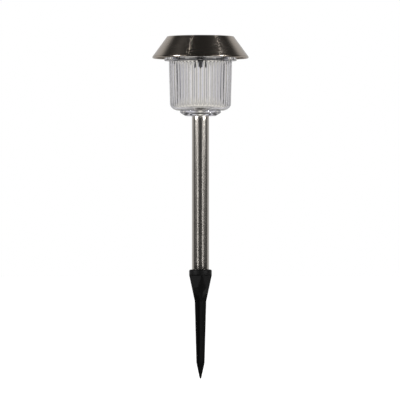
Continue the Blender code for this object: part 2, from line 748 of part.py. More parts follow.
def make_door(carrier, plastic):
    """The battery door under the cover, with a screw tab at each side of the LED."""
    half_x, half_y = BAY_HALF_X + DOOR_LAP, BAY_HALF_Y + DOOR_LAP
    low_y, tab_y = BATTERY_Y - half_y, DOOR_TAB_Y - DOOR_TAB_HALF
    in_x, out_x = DOOR_TAB_X - DOOR_TAB_HALF, DOOR_TAB_X + DOOR_TAB_HALF
    right = [(half_x, BATTERY_Y + half_y), (half_x, low_y), (out_x, low_y), (out_x, tab_y)]
    right += [(in_x, tab_y), (in_x, low_y)]
    outline = right + [(-x, y) for x, y in reversed(right)]
    bm = bmesh.new()
    prism(bm, outline, DOOR_Z, DOOR_Z + DOOR_T)
    door = add("battery_door", bm, plastic, carrier)
    bm = bmesh.new()
    for x in (-DOOR_TAB_X, DOOR_TAB_X):
        rod(bm, (x, DOOR_TAB_Y), SCREW_HOLE_R, DOOR_Z - DOOR_T, DOOR_Z + 2 * DOOR_T)
    boolean(door, helper("door_holes_cut", bm, carrier), "DIFFERENCE")


def make_seal(carrier, rubber):
    low, high = FLANGE_TOP_Z + GAP, COVER_Z - GAP
    profile = [(SEAL_OUT_R, high), (SEAL_OUT_R, low), (SEAL_IN_R, low), (SEAL_IN_R, high)]
    add("lens_seal", turned(profile, closed=True), rubber, carrier)


# --- Battery and circuit -----------------------------------------------------------------------------


def make_battery(carrier, jacket, steel):
    start, end = -CELL_LENGTH / 2, CELL_LENGTH / 2
    shoulder = end - NUB_LENGTH
    edge = SPIGOT_EDGE
    profile = [
        (0, end),
        (NUB_R, end),
        (NUB_R, shoulder),
        (CELL_R - edge, shoulder),
        (CELL_R, shoulder - edge),
        (CELL_R, start + edge),
        (CELL_R - edge, start),
        (0, start),
    ]
    bm = turned(profile, ROUND // 2)
    turn_about(bm, pi / 2, "Y")
    add("battery", bm, jacket, carrier, (0, BATTERY_Y, BATTERY_Z))

    low_z = COVER_TOP_Z + GAP
    bm = bmesh.new()
    box(
        bm,
        (PLUS_X, BATTERY_Y - CONTACT_HALF, low_z),
        (PLUS_X + CONTACT_T, BATTERY_Y + CONTACT_HALF, BATTERY_Z + CONTACT_HALF),
    )
    add("battery_plate", bm, steel, carrier)

    steps = 10 * SPRING_TURNS
    route = []
    for i in range(steps + 1):
        t = i / steps
        radius = SPRING_WIDE + (SPRING_NARROW - SPRING_WIDE) * t
        angle = 2 * pi * SPRING_TURNS * t
        along = MINUS_X + SPRING_WIRE + (SPRING_LENGTH - 2 * SPRING_WIRE) * t
        across, up = radius * cos(angle), radius * sin(angle)
        route.append(Vector((along, BATTERY_Y + across, BATTERY_Z + up)))
    lead("battery_spring", route, steel, carrier, SPRING_WIRE)


def make_circuit(carrier, board_green, black, copper):
    half = BOARD_HALF_X
    bm = bmesh.new()
    box(bm, (-half, BOARD_FRONT, BOARD_Z), (half, BOARD_BACK, BOARD_TOP_Z))
    board = add("circuit_board", bm, board_green, carrier)
    bm = bmesh.new()
    for x in (-BOARD_SCREWS_X, BOARD_SCREWS_X):
        rod(bm, (x, BOARD_SCREWS_Y), SCREW_HOLE_R, BOARD_Z - BOARD_T, BOARD_TOP_Z + BOARD_T)
    boolean(board, helper("board_holes_cut", bm, carrier), "DIFFERENCE")

    (x, y), (wide, deep, tall) = CHIP_AT, CHIP_SIZE
    bm = bmesh.new()
    box(bm, (-wide / 2, -deep / 2, 0), (wide / 2, deep / 2, tall))
    add("driver_chip", bm, black, carrier, (x, y, BOARD_TOP_Z + GAP))

    waist, lip = INDUCTOR_R - BOARD_T / 2, BOARD_T / 2
    profile = [
        (0, INDUCTOR_HEIGHT),
        (INDUCTOR_R, INDUCTOR_HEIGHT),
        (INDUCTOR_R, INDUCTOR_HEIGHT - lip),
        (waist, INDUCTOR_HEIGHT - lip),
        (waist, lip),
        (INDUCTOR_R, lip),
        (INDUCTOR_R, 0),
        (0, 0),
    ]
    add("inductor", turned(profile, SMALL * 2), copper, carrier, (*INDUCTOR_AT, BOARD_TOP_Z + GAP))


def make_leads(carrier, red, black):
    """Four short leads, from the panel and from the battery's contacts to the circuit board."""
    down = BOARD_TOP_Z + LEAD_R + GAP
    above = ROOF_UNDER_Z - SCREW_HEAD_T
    for name, side, finish in (("plus", 1, red), ("minus", -1, black)):
        route = [
            (side * PANEL_LEADS_HALF, PANEL_LEADS_Y, PANEL_BOARD_Z - GAP),
            (side * PANEL_LEADS_HALF, PANEL_LEADS_Y, ROOF_UNDER_Z),
            (side * 2 * PANEL_LEADS_HALF, PANEL_LEADS_Y - CELL_R / 4, (above + down) / 2),
            (side * 2 * PANEL_LEADS_HALF, PANEL_LEADS_Y - CELL_R / 2, down),
        ]
        lead("panel_lead_" + name, eased(route), finish, carrier)
        if side > 0:
            contact = PLUS_X + CONTACT_T / 2
        else:
            contact = MINUS_X + LEAD_R + GAP
        edge = BATTERY_Y - CONTACT_HALF - GAP
        over = BATTERY_Z + NUB_R
        route = [
            (contact, edge, BATTERY_Z),
            (contact, edge - CELL_R / 2, BATTERY_Z + NUB_R / 2),
            (side * (BOARD_HALF_X + NUB_R), 0, over),
            (side * (BOARD_HALF_X - NUB_R), -NUB_R, down),
        ]
        lead("battery_lead_" + name, eased(route), finish, carrier)


def make_led(carrier, clear, plastic):
    """The LED, point down, in the collar under the cover."""
    flange = LED_HEIGHT - LED_LEG * 2
    profile = [
        *arc((0, LED_R), LED_R, LED_R, -pi / 2, 0, 4),
        (LED_R, flange),
        (LED_FLANGE_R, flange),
        (LED_FLANGE_R, LED_HEIGHT),
        (0, LED_HEIGHT),
    ]
    led = add("led", turned(profile, SMALL * 2), clear, carrier, (0, 0, LED_Z))
    bm = bmesh.new()
    half, top = LED_LEG / 2, BOARD_Z - GAP
    for x in (-LED_LEG_X, LED_LEG_X):
        box(bm, (x - half, -half, LED_Z + LED_HEIGHT - SUNK), (x + half, half, top))
    boolean(led, helper("led_legs_cut", bm, carrier), "UNION")

    mouth = LED_Z + COLLAR_MOUTH_ABOVE_TIP
    seat = COVER_Z - GAP
    ledge = LED_Z + flange - GAP
    profile = [
        (COLLAR_NECK_R, COVER_Z + COLLAR_NECK),
        (COLLAR_NECK_R, seat),
        (COLLAR_R, seat),
        (COLLAR_R, ledge - COLLAR_SHOULDER),
        (COLLAR_SLEEVE_R, ledge - COLLAR_SHOULDER),
        (COLLAR_SLEEVE_R, mouth),
        (COLLAR_SLEEVE_BORE_R, mouth),
        (COLLAR_SLEEVE_BORE_R, ledge),
        (COLLAR_BORE_R, ledge),
        (COLLAR_BORE_R, COVER_Z + COLLAR_NECK),
    ]
    add("led_collar", turned(profile, SMALL * 2, closed=True), plastic, carrier)


def make_switch(carrier, knob_carrier, steel, plastic):
    """A slide switch on the board, whose knob comes down through the cover."""
    half_x, half_y = SWITCH_BODY[0] / 2, SWITCH_BODY[1] / 2
    low, high = COVER_TOP_Z + GAP, BOARD_Z - GAP
    bm = bmesh.new()
    box(bm, (-half_x, SWITCH_Y - half_y, low), (half_x, SWITCH_Y + half_y, high))
    body = add("switch_body", bm, steel, carrier)
    slot_x = SWITCH_TRAVEL / 2 + KNOB_HALF_X + GAP
    slot_y = KNOB_HALF_Y + GAP
    bm = bmesh.new()
    pocket = COVER_TOP_Z + KNOB_IN + GAP
    box(bm, (-slot_x, SWITCH_Y - slot_y, low - ROOF_T), (slot_x, SWITCH_Y + slot_y, pocket))
    boolean(body, helper("switch_pocket_cut", bm, carrier), "DIFFERENCE")

    x = -SWITCH_TRAVEL / 2
    bm = bmesh.new()
    box(
        bm,
        (-KNOB_HALF_X, -KNOB_HALF_Y, -KNOB_OUT),
        (KNOB_HALF_X, KNOB_HALF_Y, COVER_T + KNOB_IN),
    )
    add("switch_knob", bm, plastic, knob_carrier, (x, SWITCH_Y, COVER_Z))


def screw_mesh(steel):
    """A pan-head screw with a drive recess, its head's seat at z = 0 and its point up."""
    edge = SPIGOT_EDGE
    profile = [
        (0, -SCREW_HEAD_T + SCREW_DIMPLE),
        (SCREW_DIMPLE_R, -SCREW_HEAD_T),
        (SCREW_HEAD_R - edge * 2, -SCREW_HEAD_T),
        (SCREW_HEAD_R, -SCREW_HEAD_T + edge * 2),
        (SCREW_HEAD_R, 0),
        (SCREW_R, 0),
        (SCREW_R, SCREW_LENGTH - SCREW_R),
        (0, SCREW_LENGTH),
    ]
    return turned(profile, SMALL - 2)


def make_screws(carrier, steel):
    """Every screw is a copy of one mesh."""
    seats = {
        "cap_screw": [(x, y, ROOF_UNDER_Z - GAP) for x, y in corners_at(CAP_SCREWS_AT)],
        "cover_screw": [(*polar(COVER_SCREWS_R, a), COVER_Z - GAP) for a in COVER_SCREWS_AT],
        "door_screw": [(x, DOOR_TAB_Y, DOOR_Z - GAP) for x in (-DOOR_TAB_X, DOOR_TAB_X)],
        "board_screw": [(x, BOARD_SCREWS_Y, BOARD_Z - GAP) for x in (-BOARD_SCREWS_X, BOARD_SCREWS_X)],
    }
    shared = None
    for kind, places in seats.items():
        for number, at in enumerate(places, 1):
            name = f"{kind}_{number}"
            if shared is None:
                shared = add(name, screw_mesh(steel), steel, carrier, at).data
                continue
            copy = bpy.data.objects.new(name, shared)
            bpy.context.collection.objects.link(copy)
            place(copy, carrier, at)


# --- The whole light ---------------------------------------------------------------------------------


def main():
    clear_scene()
    brushed = material("brushed_steel", (0.42, 0.39, 0.35), 0.32, 1.0)
    polished = material("polished_steel", (0.48, 0.45, 0.42), 0.2, 1.0)
    zinc = material("zinc_plate", (0.62, 0.62, 0.6), 0.35, 1.0)
    clear = material("clear_plastic", (0.93, 0.94, 0.95), 0.06, 0.0, 0.9)
    glass = material("panel_cover", (0.75, 0.8, 0.86), 0.08, 0.0, 0.9)
    silicon = material("silicon", (0.02, 0.03, 0.09), 0.25)
    black = material("black_plastic", (0.02, 0.02, 0.02), 0.5)
    rubber = material("black_rubber", (0.03, 0.03, 0.03), 0.8)
    green = material("board_green", (0.03, 0.16, 0.07), 0.45)
    jacket = material("battery_jacket", (0.05, 0.3, 0.16), 0.35)
    copper = material("copper_winding", (0.55, 0.25, 0.1), 0.35, 0.8)
    red_lead = material("red_lead", (0.5, 0.03, 0.02), 0.5)
    black_lead = material("black_lead", (0.02, 0.02, 0.02), 0.5)

    stake_body = empty("stake_body", (0, 0, 0))
    tube_body = empty("tube_body", (0, 0, TUBE_Z), stake_body)
    lens_body = empty("lens_body", (0, 0, RECESS_Z), tube_body)
    head_body = empty("head_body", (0, 0, FLANGE_TOP_Z), lens_body)
    switch_axis = empty("switch_axis", (0, SWITCH_Y, COVER_Z), head_body)

    make_stake(stake_body, black)
    make_tube(tube_body, polished)
    make_lens(lens_body, clear)
    make_cap(head_body, brushed)
    make_panel(head_body, black, glass, silicon, green, rubber)
    make_housing(head_body, black)
    make_cover(head_body, black)
    make_door(head_body, black)
    make_seal(head_body, rubber)
    make_battery(head_body, jacket, zinc)
    make_circuit(head_body, green, black, copper)
    make_leads(head_body, red_lead, black_lead)
    make_led(head_body, clear, black)
    make_switch(head_body, switch_axis, zinc, black)
    make_screws(head_body, zinc)


main()
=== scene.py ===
from math import acos, atan2, cos, hypot, pi, radians, sin, sqrt

import bpy
import numpy as np
from bpy.props import FloatProperty, FloatVectorProperty, IntProperty, PointerProperty
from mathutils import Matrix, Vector


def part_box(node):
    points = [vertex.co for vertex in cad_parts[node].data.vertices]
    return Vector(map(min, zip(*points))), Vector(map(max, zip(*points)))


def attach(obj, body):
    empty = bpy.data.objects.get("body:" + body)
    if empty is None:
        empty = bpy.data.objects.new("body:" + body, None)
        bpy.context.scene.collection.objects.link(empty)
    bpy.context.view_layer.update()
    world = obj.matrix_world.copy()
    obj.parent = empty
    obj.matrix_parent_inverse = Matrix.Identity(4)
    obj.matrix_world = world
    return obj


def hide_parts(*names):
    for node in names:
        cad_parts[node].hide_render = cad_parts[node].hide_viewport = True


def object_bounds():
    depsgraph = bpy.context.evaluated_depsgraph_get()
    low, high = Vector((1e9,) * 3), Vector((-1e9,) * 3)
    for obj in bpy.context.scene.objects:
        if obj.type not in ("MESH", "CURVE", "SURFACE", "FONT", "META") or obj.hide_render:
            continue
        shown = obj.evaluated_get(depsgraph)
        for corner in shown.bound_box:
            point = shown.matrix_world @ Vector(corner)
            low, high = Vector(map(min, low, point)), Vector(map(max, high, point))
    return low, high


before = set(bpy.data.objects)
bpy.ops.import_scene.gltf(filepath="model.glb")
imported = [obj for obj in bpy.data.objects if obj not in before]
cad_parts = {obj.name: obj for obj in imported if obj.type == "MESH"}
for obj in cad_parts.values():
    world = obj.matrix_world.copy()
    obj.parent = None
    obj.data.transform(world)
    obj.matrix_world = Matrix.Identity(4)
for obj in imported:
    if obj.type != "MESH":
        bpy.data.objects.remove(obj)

bl_info = {
    "name": "Solar Garden Light",
    "version": (1, 0, 0),
    "blender": (4, 5, 0),
    "location": "View3D > Sidebar > Garden Light",
    "description": "Builds a solar stake light with a steel cap, a fluted clear lens and a ground stake",
    "category": "Object",
}

CAD_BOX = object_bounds()
WELD = 1e-9  # a row of points nearer together than this is one point
SMOOTH_UNDER = radians(32)
MILLI = 0.001


# --- Sizes read from the frame -----------------------------------------------------------------------


def low_z(node):
    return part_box(node)[0].z


def high_z(node):
    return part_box(node)[1].z


def half_width(node):
    low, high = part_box(node)
    return (high.x - low.x) / 2


def middle_of(node):
    low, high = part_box(node)
    return (low + high) / 2


# --- Settings ----------------------------------------------------------------------------------------


def length(name, description, default):
    """A size in metres."""
    return FloatProperty(
        name=name, description=description, default=default, min=0.0, unit="LENGTH", precision=5
    )


def colour(name, description, default):
    """A colour in linear values."""
    return FloatVectorProperty(
        name=name, description=description, default=default, subtype="COLOR", min=0.0, max=1.0
    )


def share(name, description, default):
    """A number of 0 to 1."""
    return FloatProperty(
        name=name, description=description, default=default, min=0.0, max=1.0, subtype="FACTOR"
    )


class CapSettings(bpy.types.PropertyGroup):
    rim_radius: length("Rim radius", "Outer radius of the hemmed rim", half_width("cap_shell"))
    top_radius: length("Top radius", "Radius of the rolled edge round the top", 0.0421)
    edge_radius: length("Edge radius", "Bend between the top and the flank", 0.0012)
    sheet: length("Sheet", "Thickness of the steel sheet", 0.0006)
    hem_height: length("Hem height", "Height of the folded rim", 0.0024)
    window_half: length("Window", "Half the width of the window for the panel", 0.0235)
    steel: colour("Steel", "Colour of the brushed sheet", (0.49, 0.43, 0.37))
    roughness: share("Roughness", "How much the brushing spreads a highlight", 0.26)


class LensSettings(bpy.types.PropertyGroup):
    wall: length("Wall", "Thickness of the moulded wall", 0.0020)
    body_radius: length("Body radius", "Outer radius of the body under the flange", 0.0394)
    draft: length("Draft", "How much narrower the body is at its foot", 0.0014)
    flutes: IntProperty(
        name="Flutes", description="Ribs round the inner wall", default=48, min=8, max=96
    )
    flute_depth: length("Flute depth", "How far each rib stands in from the wall", 0.00045)
    tint: colour("Tint", "Colour of the clear plastic", (0.955, 0.955, 0.965))
    roughness: share("Roughness", "Haze of the moulded surface", 0.03)


class TubeSettings(bpy.types.PropertyGroup):
    radius: length("Radius", "Outer radius of the tube", half_width("tube"))
    wall: length("Wall", "Thickness of the tube", 0.0006)
    steel: colour("Steel", "Colour of the drawn steel", (0.62, 0.58, 0.53))
    roughness: share("Roughness", "How dull the polish is", 0.22)


class StakeSettings(bpy.types.PropertyGroup):
    rib: length("Rib", "Thickness of the crossed ribs", 0.0032)
    neck_radius: length("Neck radius", "Reach of the ribs at the ground line", 0.00705)
    scallop_top: length("Scallop top", "Height where the grooves between the ribs start", 0.0175)
    turn: FloatProperty(
        name="Turn",
        description="How far the ribs are turned about the axis",
        default=radians(8),
        unit="ROTATION",
    )
    plastic: colour("Plastic", "Colour of the moulded plastic", (0.0045, 0.0045, 0.0045))


class PanelSettings(bpy.types.PropertyGroup):
    corner: length("Corner cut", "Cut across each corner of the cells", 0.0070)
    busbar: length("Busbar", "Width of a busbar on the cells", 0.0007)
    silicon: colour("Silicon", "Colour of the cells", (0.012, 0.022, 0.075))
    silver: colour("Silver", "Colour of the printed lines and busbars", (0.55, 0.57, 0.60))


class LampSettings(bpy.types.PropertyGroup):
    glow: FloatProperty(
        name="Glow", description="Strength of the phosphor's light", default=3.0, min=0.0
    )
    phosphor: colour("Phosphor", "Colour of the phosphor over the chip", (1.0, 0.78, 0.42))


class PartsSettings(bpy.types.PropertyGroup):
    plastic: colour("Plastic", "Colour of the head's moulded parts", (0.018, 0.018, 0.018))
    rubber: colour("Rubber", "Colour of the seal and the gasket", (0.03, 0.03, 0.03))
    zinc: colour("Zinc", "Colour of the plated metal", (0.62, 0.62, 0.60))
    board: colour("Board", "Colour of the solder mask", (0.03, 0.16, 0.07))
    jacket: colour("Jacket", "Colour of the battery's sleeve", (0.05, 0.30, 0.16))
    copper: colour("Copper", "Colour of the coil's enamelled wire", (0.55, 0.25, 0.10))
    red: colour("Red lead", "Colour of the plus leads", (0.50, 0.03, 0.02))
    black: colour("Black lead", "Colour of the minus leads", (0.02, 0.02, 0.02))


class StageSettings(bpy.types.PropertyGroup):
    backdrop: share("Backdrop", "Brightness of the backdrop that the light shows and reflects", 0.6)
    room: share("Room", "Brightness of the rest of the room", 0.03)
    surround_near: colour(
        "Surround, near", "What is seen straight through the clear parts", (0.51, 0.49, 0.44)
    )
    surround_far: colour(
        "Surround, far", "What is seen at a slant through the clear parts", (0.62, 0.615, 0.67)
    )
    wave: share("Surround wave", "How much the brightness varies straight behind", 0.8)
    floor: colour("Floor", "Colour of the floor", (0.9, 0.9, 0.9))
    softbox: FloatProperty(
        name="Softbox", description="Power of each soft light", default=9.0, min=0.0, unit="POWER"
    )
    strip: FloatProperty(
        name="Strip", description="Power of each strip light", default=0.40, min=0.0, unit="POWER"
    )
    top: FloatProperty(
        name="Top", description="Power of the smaller lamp above", default=0.05, min=0.0, unit="POWER"
    )


# --- Surfaces ----------------------------------------------------------------------------------------


def arc(centre, radii, start, end, steps):
    """(r, z) points: the centre plus each half axis times the cosine and sine of evenly spaced angles."""
    angles = np.linspace(start, end, steps)
    return np.stack(
        [centre[0] + radii[0] * np.cos(angles), centre[1] + radii[1] * np.sin(angles)], axis=1
    )


UPPER_OUTER, UPPER_INNER, LOWER_INNER, LOWER_OUTER = range(4)


def corner(r, z, edge, which, steps=4):
    """A quarter circle that rounds off a profile's corner at (r, z)."""
    inward = edge if which in (UPPER_INNER, LOWER_INNER) else -edge
    upward = edge if which in (LOWER_INNER, LOWER_OUTER) else -edge
    start = which * pi / 2
    return arc((r + inward, z + upward), (edge, edge), start, start + pi / 2, steps)


def run(start, end, steps=2):
    """(r, z) points evenly spaced along a straight line."""
    return np.linspace(start, end, steps)


def profile_of(*stretches):
    """One profile of stretches in order, where a point repeated at a joint is kept once."""
    points = np.concatenate([np.atleast_2d(np.asarray(s, float)) for s in stretches])
    apart = np.abs(np.diff(points, axis=0)).max(axis=1) > WELD
    return points[np.concatenate([[True], apart])]


def azimuths(sides):
    return 2 * pi * np.arange(sides) / sides


def turned(profile, sides):
    """Each profile point's r times the cosine and sine of the azimuth, at its own z."""
    angles = azimuths(sides)
    r, z = profile[:, :1], profile[:, 1:]
    return np.stack([r * np.cos(angles), r * np.sin(angles), z + 0 * angles], axis=2)


def polar_grid(radii, z):
    """Radii on a grid of rows by azimuths, times the azimuth's cosine and sine, at each row's z."""
    angles = azimuths(radii.shape[1])
    return np.stack([radii * np.cos(angles), radii * np.sin(angles), z[:, None] + 0 * radii], axis=2)


def eight_sided(half, cut, bend, steps=4):
    """A square with each corner cut off. Every corner of the outline is an arc of radius bend, whose
    centre lies that far inside both of its sides."""
    along = half - cut - bend * (sqrt(2) - 1)
    first = arc((half - bend, along), (bend, bend), 0, pi / 4, steps)
    second = arc((along, half - bend), (bend, bend), pi / 4, pi / 2, steps)
    quarter = np.concatenate([first, second])
    turns = [np.array([[cos(a), sin(a)], [-sin(a), cos(a)]]) for a in (0, pi / 2, pi, 3 * pi / 2)]
    return np.concatenate([quarter @ turn for turn in turns])


def oblong(half_x, half_y, bend, steps=4):
    """A rectangle whose corners are quarter circles of radius bend."""
    signs = ((1, 1), (-1, 1), (-1, -1), (1, -1))
    corners = [
        arc(
            (x * (half_x - bend), y * (half_y - bend)),
            (bend, bend),
            k * pi / 2,
            (k + 1) * pi / 2,
            steps,
        )
        for k, (x, y) in enumerate(signs)
    ]
    return np.concatenate(corners)


def oblong_outline(half_x, half_y, bend):
    """An oblong that can be drawn in by an inset."""
    return lambda inset: oblong(half_x - inset, half_y - inset, bend)


def block(node, bend, edge):
    """A plate that fills a CAD node's box, with rounded corners and edges."""
    low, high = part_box(node)
    half, middle = (high - low) / 2, (low + high) / 2
    grid = plate(oblong_outline(half.x, half.y, bend), low.z, high.z, edge)
    return grid + np.array([middle.x, middle.y, 0])


def stacked(levels):
    """Rows of one outline after another, each at its height. A height alone is a row on the axis."""
    count = max(len(outline) for outline, _ in levels)
    rows = [
        np.column_stack([np.zeros((count, 2)) if len(outline) < count else outline, np.full(count, z)])
        for outline, z in levels
    ]
    return np.stack(rows)


def plate(outline, low, high, edge, steps=4):
    """A flat plate of an outline that is drawn in by a given inset. At its rounded edges the inset is
    the edge's radius less its cosine, and the height follows its sine."""
    turns = np.linspace(-pi / 2, 0, steps)
    lower = [(outline(edge * (1 - cos(a))), low + edge * (1 + sin(a))) for a in turns]
    upper = [(outline(edge * (1 - cos(a))), high - edge * (1 + sin(a))) for a in turns[::-1]]
    return stacked([([], low), *lower, *upper, ([], high)])


def along_path(path, radius, sides, up):
    """A round wire: each path point plus the radius times a circle in the plane across the path, which
    is found from the path's direction and a fixed direction that it never follows. Both ends close."""
    ahead = np.gradient(path, axis=0)
    ahead /= np.linalg.norm(ahead, axis=1, keepdims=True)
    across = np.cross(ahead, up)
    across /= np.linalg.norm(across, axis=1, keepdims=True)
    over = np.cross(across, ahead)
    angles = azimuths(sides)
    circle = (
        across[:, None] * np.cos(angles)[None, :, None] - over[:, None] * np.sin(angles)[None, :, None]
    )
    tube = path[:, None] + radius * circle
    ends = [np.repeat(path[i][None, None], sides, axis=1) for i in (0, -1)]
    return np.concatenate([ends[0], tube, ends[1]])


def eased(points, per_span=8):
    """A smooth Catmull-Rom curve through the points: in each span a cubic of the four nearest ones."""
    points = np.asarray(points, float)
    points = np.concatenate([[2 * points[0] - points[1]], points, [2 * points[-1] - points[-2]]])
    before, start, end, after = points[:-3], points[1:-2], points[2:-1], points[3:]
    t = (np.arange(per_span) / per_span)[None, :, None]
    before, start, end, after = (side[:, None] for side in (before, start, end, after))
    curve = (
        start
        + 0.5 * t * (end - before)
        + t**2 * (before - 2.5 * start + 2 * end - 0.5 * after)
        + t**3 * (1.5 * (start - end) + 0.5 * (after - before))
    )
    return np.concatenate([curve.reshape(-1, 3), points[-2:-1]])


def faces_of(grid, closed):
    """Quads between neighbouring rows and columns, as corner indices, with triangles round a pole."""
    rows, columns = grid.shape[:2]
    index = np.arange(rows * columns).reshape(rows, columns)
    pole = np.abs(grid - grid[:, :1]).max(axis=(1, 2)) < WELD
    index[pole] = index[pole, :1]
    low = index if closed else index[:-1]
    high = np.roll(index, -1, axis=0) if closed else index[1:]
    quads = np.stack([low, np.roll(low, -1, 1), np.roll(high, -1, 1), high], axis=2).reshape(-1, 4)
    from_pole, to_pole = quads[:, 0] == quads[:, 1], quads[:, 2] == quads[:, 3]
    triangles = np.concatenate([quads[from_pole][:, [0, 2, 3]], quads[to_pole][:, :3]])
    return quads[~(from_pole | to_pole)], triangles


def skin(name, *grids, closed=False, smooth_under=SMOOTH_UNDER):
    """One mesh over grids of points. Columns join round; rows do too if closed, and else end in poles."""
    points, quads, triangles, count = [], [], [], 0
    for grid in grids:
        four, three = faces_of(grid, closed)
        points.append(grid.reshape(-1, 3))
        quads.append(four + count)
        triangles.append(three + count)
        count += len(points[-1])
    quads, triangles = np.concatenate(quads), np.concatenate(triangles)
    corners = np.concatenate([quads.ravel(), triangles.ravel()])
    used, corners = np.unique(corners, return_inverse=True)
    starts = np.concatenate(
        [4 * np.arange(len(quads)), 4 * len(quads) + 3 * np.arange(len(triangles))]
    )
    mesh = bpy.data.meshes.new(name)
    mesh.vertices.add(len(used))
    mesh.vertices.foreach_set("co", np.concatenate(points)[used].ravel())
    mesh.loops.add(len(corners))
    mesh.loops.foreach_set("vertex_index", corners.ravel())
    mesh.polygons.add(len(starts))
    mesh.polygons.foreach_set("loop_start", starts)
    mesh.update(calc_edges=True)
    if mesh.validate():
        raise RuntimeError(f"{name} has faces that don't fit together")
    mesh.shade_smooth()
    mesh.set_sharp_from_angle(angle=smooth_under)
    return mesh


def piece(mesh, finish, slot, *nodes, body="head"):
    """Puts a mesh in the scene as a piece of the light, on its body and in place of its CAD nodes."""
    mesh.materials.append(finish)
    thing = bpy.data.objects.new(mesh.name, mesh)
    bpy.context.scene.collection.objects.link(thing)
    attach(thing, body)
    if nodes:
        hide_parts(*nodes)
    return thing


def dress(finish, *nodes):
    """Gives CAD nodes a finish in every one of their material slots."""
    for node in nodes:
        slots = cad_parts[node].material_slots
        if not slots:
            raise RuntimeError(f"{node} has no material slot")
        for slot in slots:
            slot.material = finish


# --- Finishes ----------------------------------------------------------------------------------------


def put(tree, kind, values=None, **settings):
    """Adds a shader node. settings are its own properties, and values go to its inputs: another node's
    socket is linked, and anything else is set."""
    made = tree.nodes.new("ShaderNode" + kind)
    for name, value in settings.items():
        setattr(made, name, value)
    return fill(tree, made, values or {})


def fill(tree, made, values):
    """Links or sets a node's inputs."""
    for name, value in values.items():
        if isinstance(value, bpy.types.NodeSocket):
            tree.links.new(value, made.inputs[name])
        else:
            made.inputs[name].default_value = value
    return made


def calc(tree, operation, first, second=0.0, third=0.0):
    """One step of arithmetic on values that change over the surface."""
    return put(tree, "Math", {0: first, 1: second, 2: third}, operation=operation).outputs[0]


def between(tree, value, low, high):
    """A value of 0 to 1 stretched to run from low to high."""
    scaled = put(tree, "MapRange", {"Value": value, "To Min": low, "To Max": high})
    return scaled.outputs["Result"]


def blend(tree, amount, first, second):
    """A colour between two, by an amount of 0 to 1."""
    mixed = put(tree, "Mix", {0: amount, 6: first, 7: second}, data_type="RGBA")
    return mixed.outputs[2]


def new_group(name, inputs, outputs):
    """An empty shader node group, with its input and output nodes."""
    group = bpy.data.node_groups.new(name, "ShaderNodeTree")
    for label, kind, default in inputs:
        socket = group.interface.new_socket(label, in_out="INPUT", socket_type=kind)
        if default is not None:
            socket.default_value = default
    for label, kind in outputs:
        group.interface.new_socket(label, in_out="OUTPUT", socket_type=kind)
    return group, group.nodes.new("NodeGroupInput"), group.nodes.new("NodeGroupOutput")


FLOAT, VECTOR = "NodeSocketFloat", "NodeSocketVector"


def grain_group():
    """Moulded grain: a fine noise and a coarser one, as a height, and slow blotches, as a mask."""
    group, given, out = new_group(
        "Moulded grain",
        [("Point", VECTOR, None), ("Fineness", FLOAT, 4000.0), ("Blotches", FLOAT, 60.0)],
        [("Height", FLOAT), ("Mask", FLOAT)],
    )
    point = given.outputs["Point"]
    fine = noise(group, point, given.outputs["Fineness"], 3.0)
    third = calc(group, "DIVIDE", given.outputs["Fineness"], 3.0)
    coarse = put(group, "TexVoronoi", {"Vector": point, "Scale": third})
    height = calc(group, "MULTIPLY_ADD", coarse.outputs["Distance"], 0.6, fine)
    slow = noise(group, point, given.outputs["Blotches"], 4.0)
    group.links.new(height, out.inputs["Height"])
    group.links.new(slow, out.inputs["Mask"])
    return group


def lines_group():
    """Brushed lines: noise that varies fast one way and slowly the other. Across lines is how fast it
    varies with the radius and the height, Rise is the height's share in that, and Round scale is how fast
    it varies round the axis. The azimuth is read as a cosine and a sine, so there is no seam."""
    group, given, out = new_group(
        "Brushed lines",
        [
            ("Point", VECTOR, None),
            ("Across lines", FLOAT, 3000.0),
            ("Round scale", FLOAT, 1.5),
            ("Rise", FLOAT, 1.0),
        ],
        [("Lines", FLOAT), ("Patches", FLOAT)],
    )
    x, y, z = put(group, "SeparateXYZ", {0: given.outputs["Point"]}).outputs
    flat = put(group, "CombineXYZ", {0: x, 1: y}).outputs[0]
    radius = put(group, "VectorMath", {0: flat}, operation="LENGTH")
    safe = calc(group, "MAXIMUM", radius.outputs["Value"], 1e-5)
    round_scale = given.outputs["Round scale"]
    around_x = calc(group, "MULTIPLY", calc(group, "DIVIDE", x, safe), round_scale)
    around_y = calc(group, "MULTIPLY", calc(group, "DIVIDE", y, safe), round_scale)
    across = calc(group, "MULTIPLY_ADD", z, given.outputs["Rise"], safe)
    across = calc(group, "MULTIPLY", across, given.outputs["Across lines"])
    place = put(group, "CombineXYZ", {0: around_x, 1: around_y, 2: across}).outputs[0]
    lines = put(group, "TexNoise", {"Vector": place, "Scale": 1.0, "Detail": 3.0, "Roughness": 0.6})
    slow = noise(group, given.outputs["Point"], 45.0, 3.0)
    group.links.new(lines.outputs[0], out.inputs["Lines"])
    group.links.new(slow, out.inputs["Patches"])
    return group


def use_group(tree, group, values):
    """Places a node group in a material with its own values."""
    return fill(tree, put(tree, "Group", node_tree=group), values)


def shared(name, maker):
    """A node group that is made the first time it is asked for."""
    return bpy.data.node_groups.get(name) or maker()


def new_finish(name, roughness, metallic=0.0):
    """A material with its Principled shader and the object's own coordinates."""
    made = bpy.data.materials.new(name)
    made.use_nodes = True
    tree = made.node_tree
    shader = tree.nodes["Principled BSDF"]
    shader.inputs["Metallic"].default_value = metallic
    shader.inputs["Roughness"].default_value = roughness
    return made, tree, shader, put(tree, "TexCoord").outputs["Object"]


def feed(tree, shader, name, value):
    """Links a value to one of the shader's inputs."""
    tree.links.new(value, shader.inputs[name])


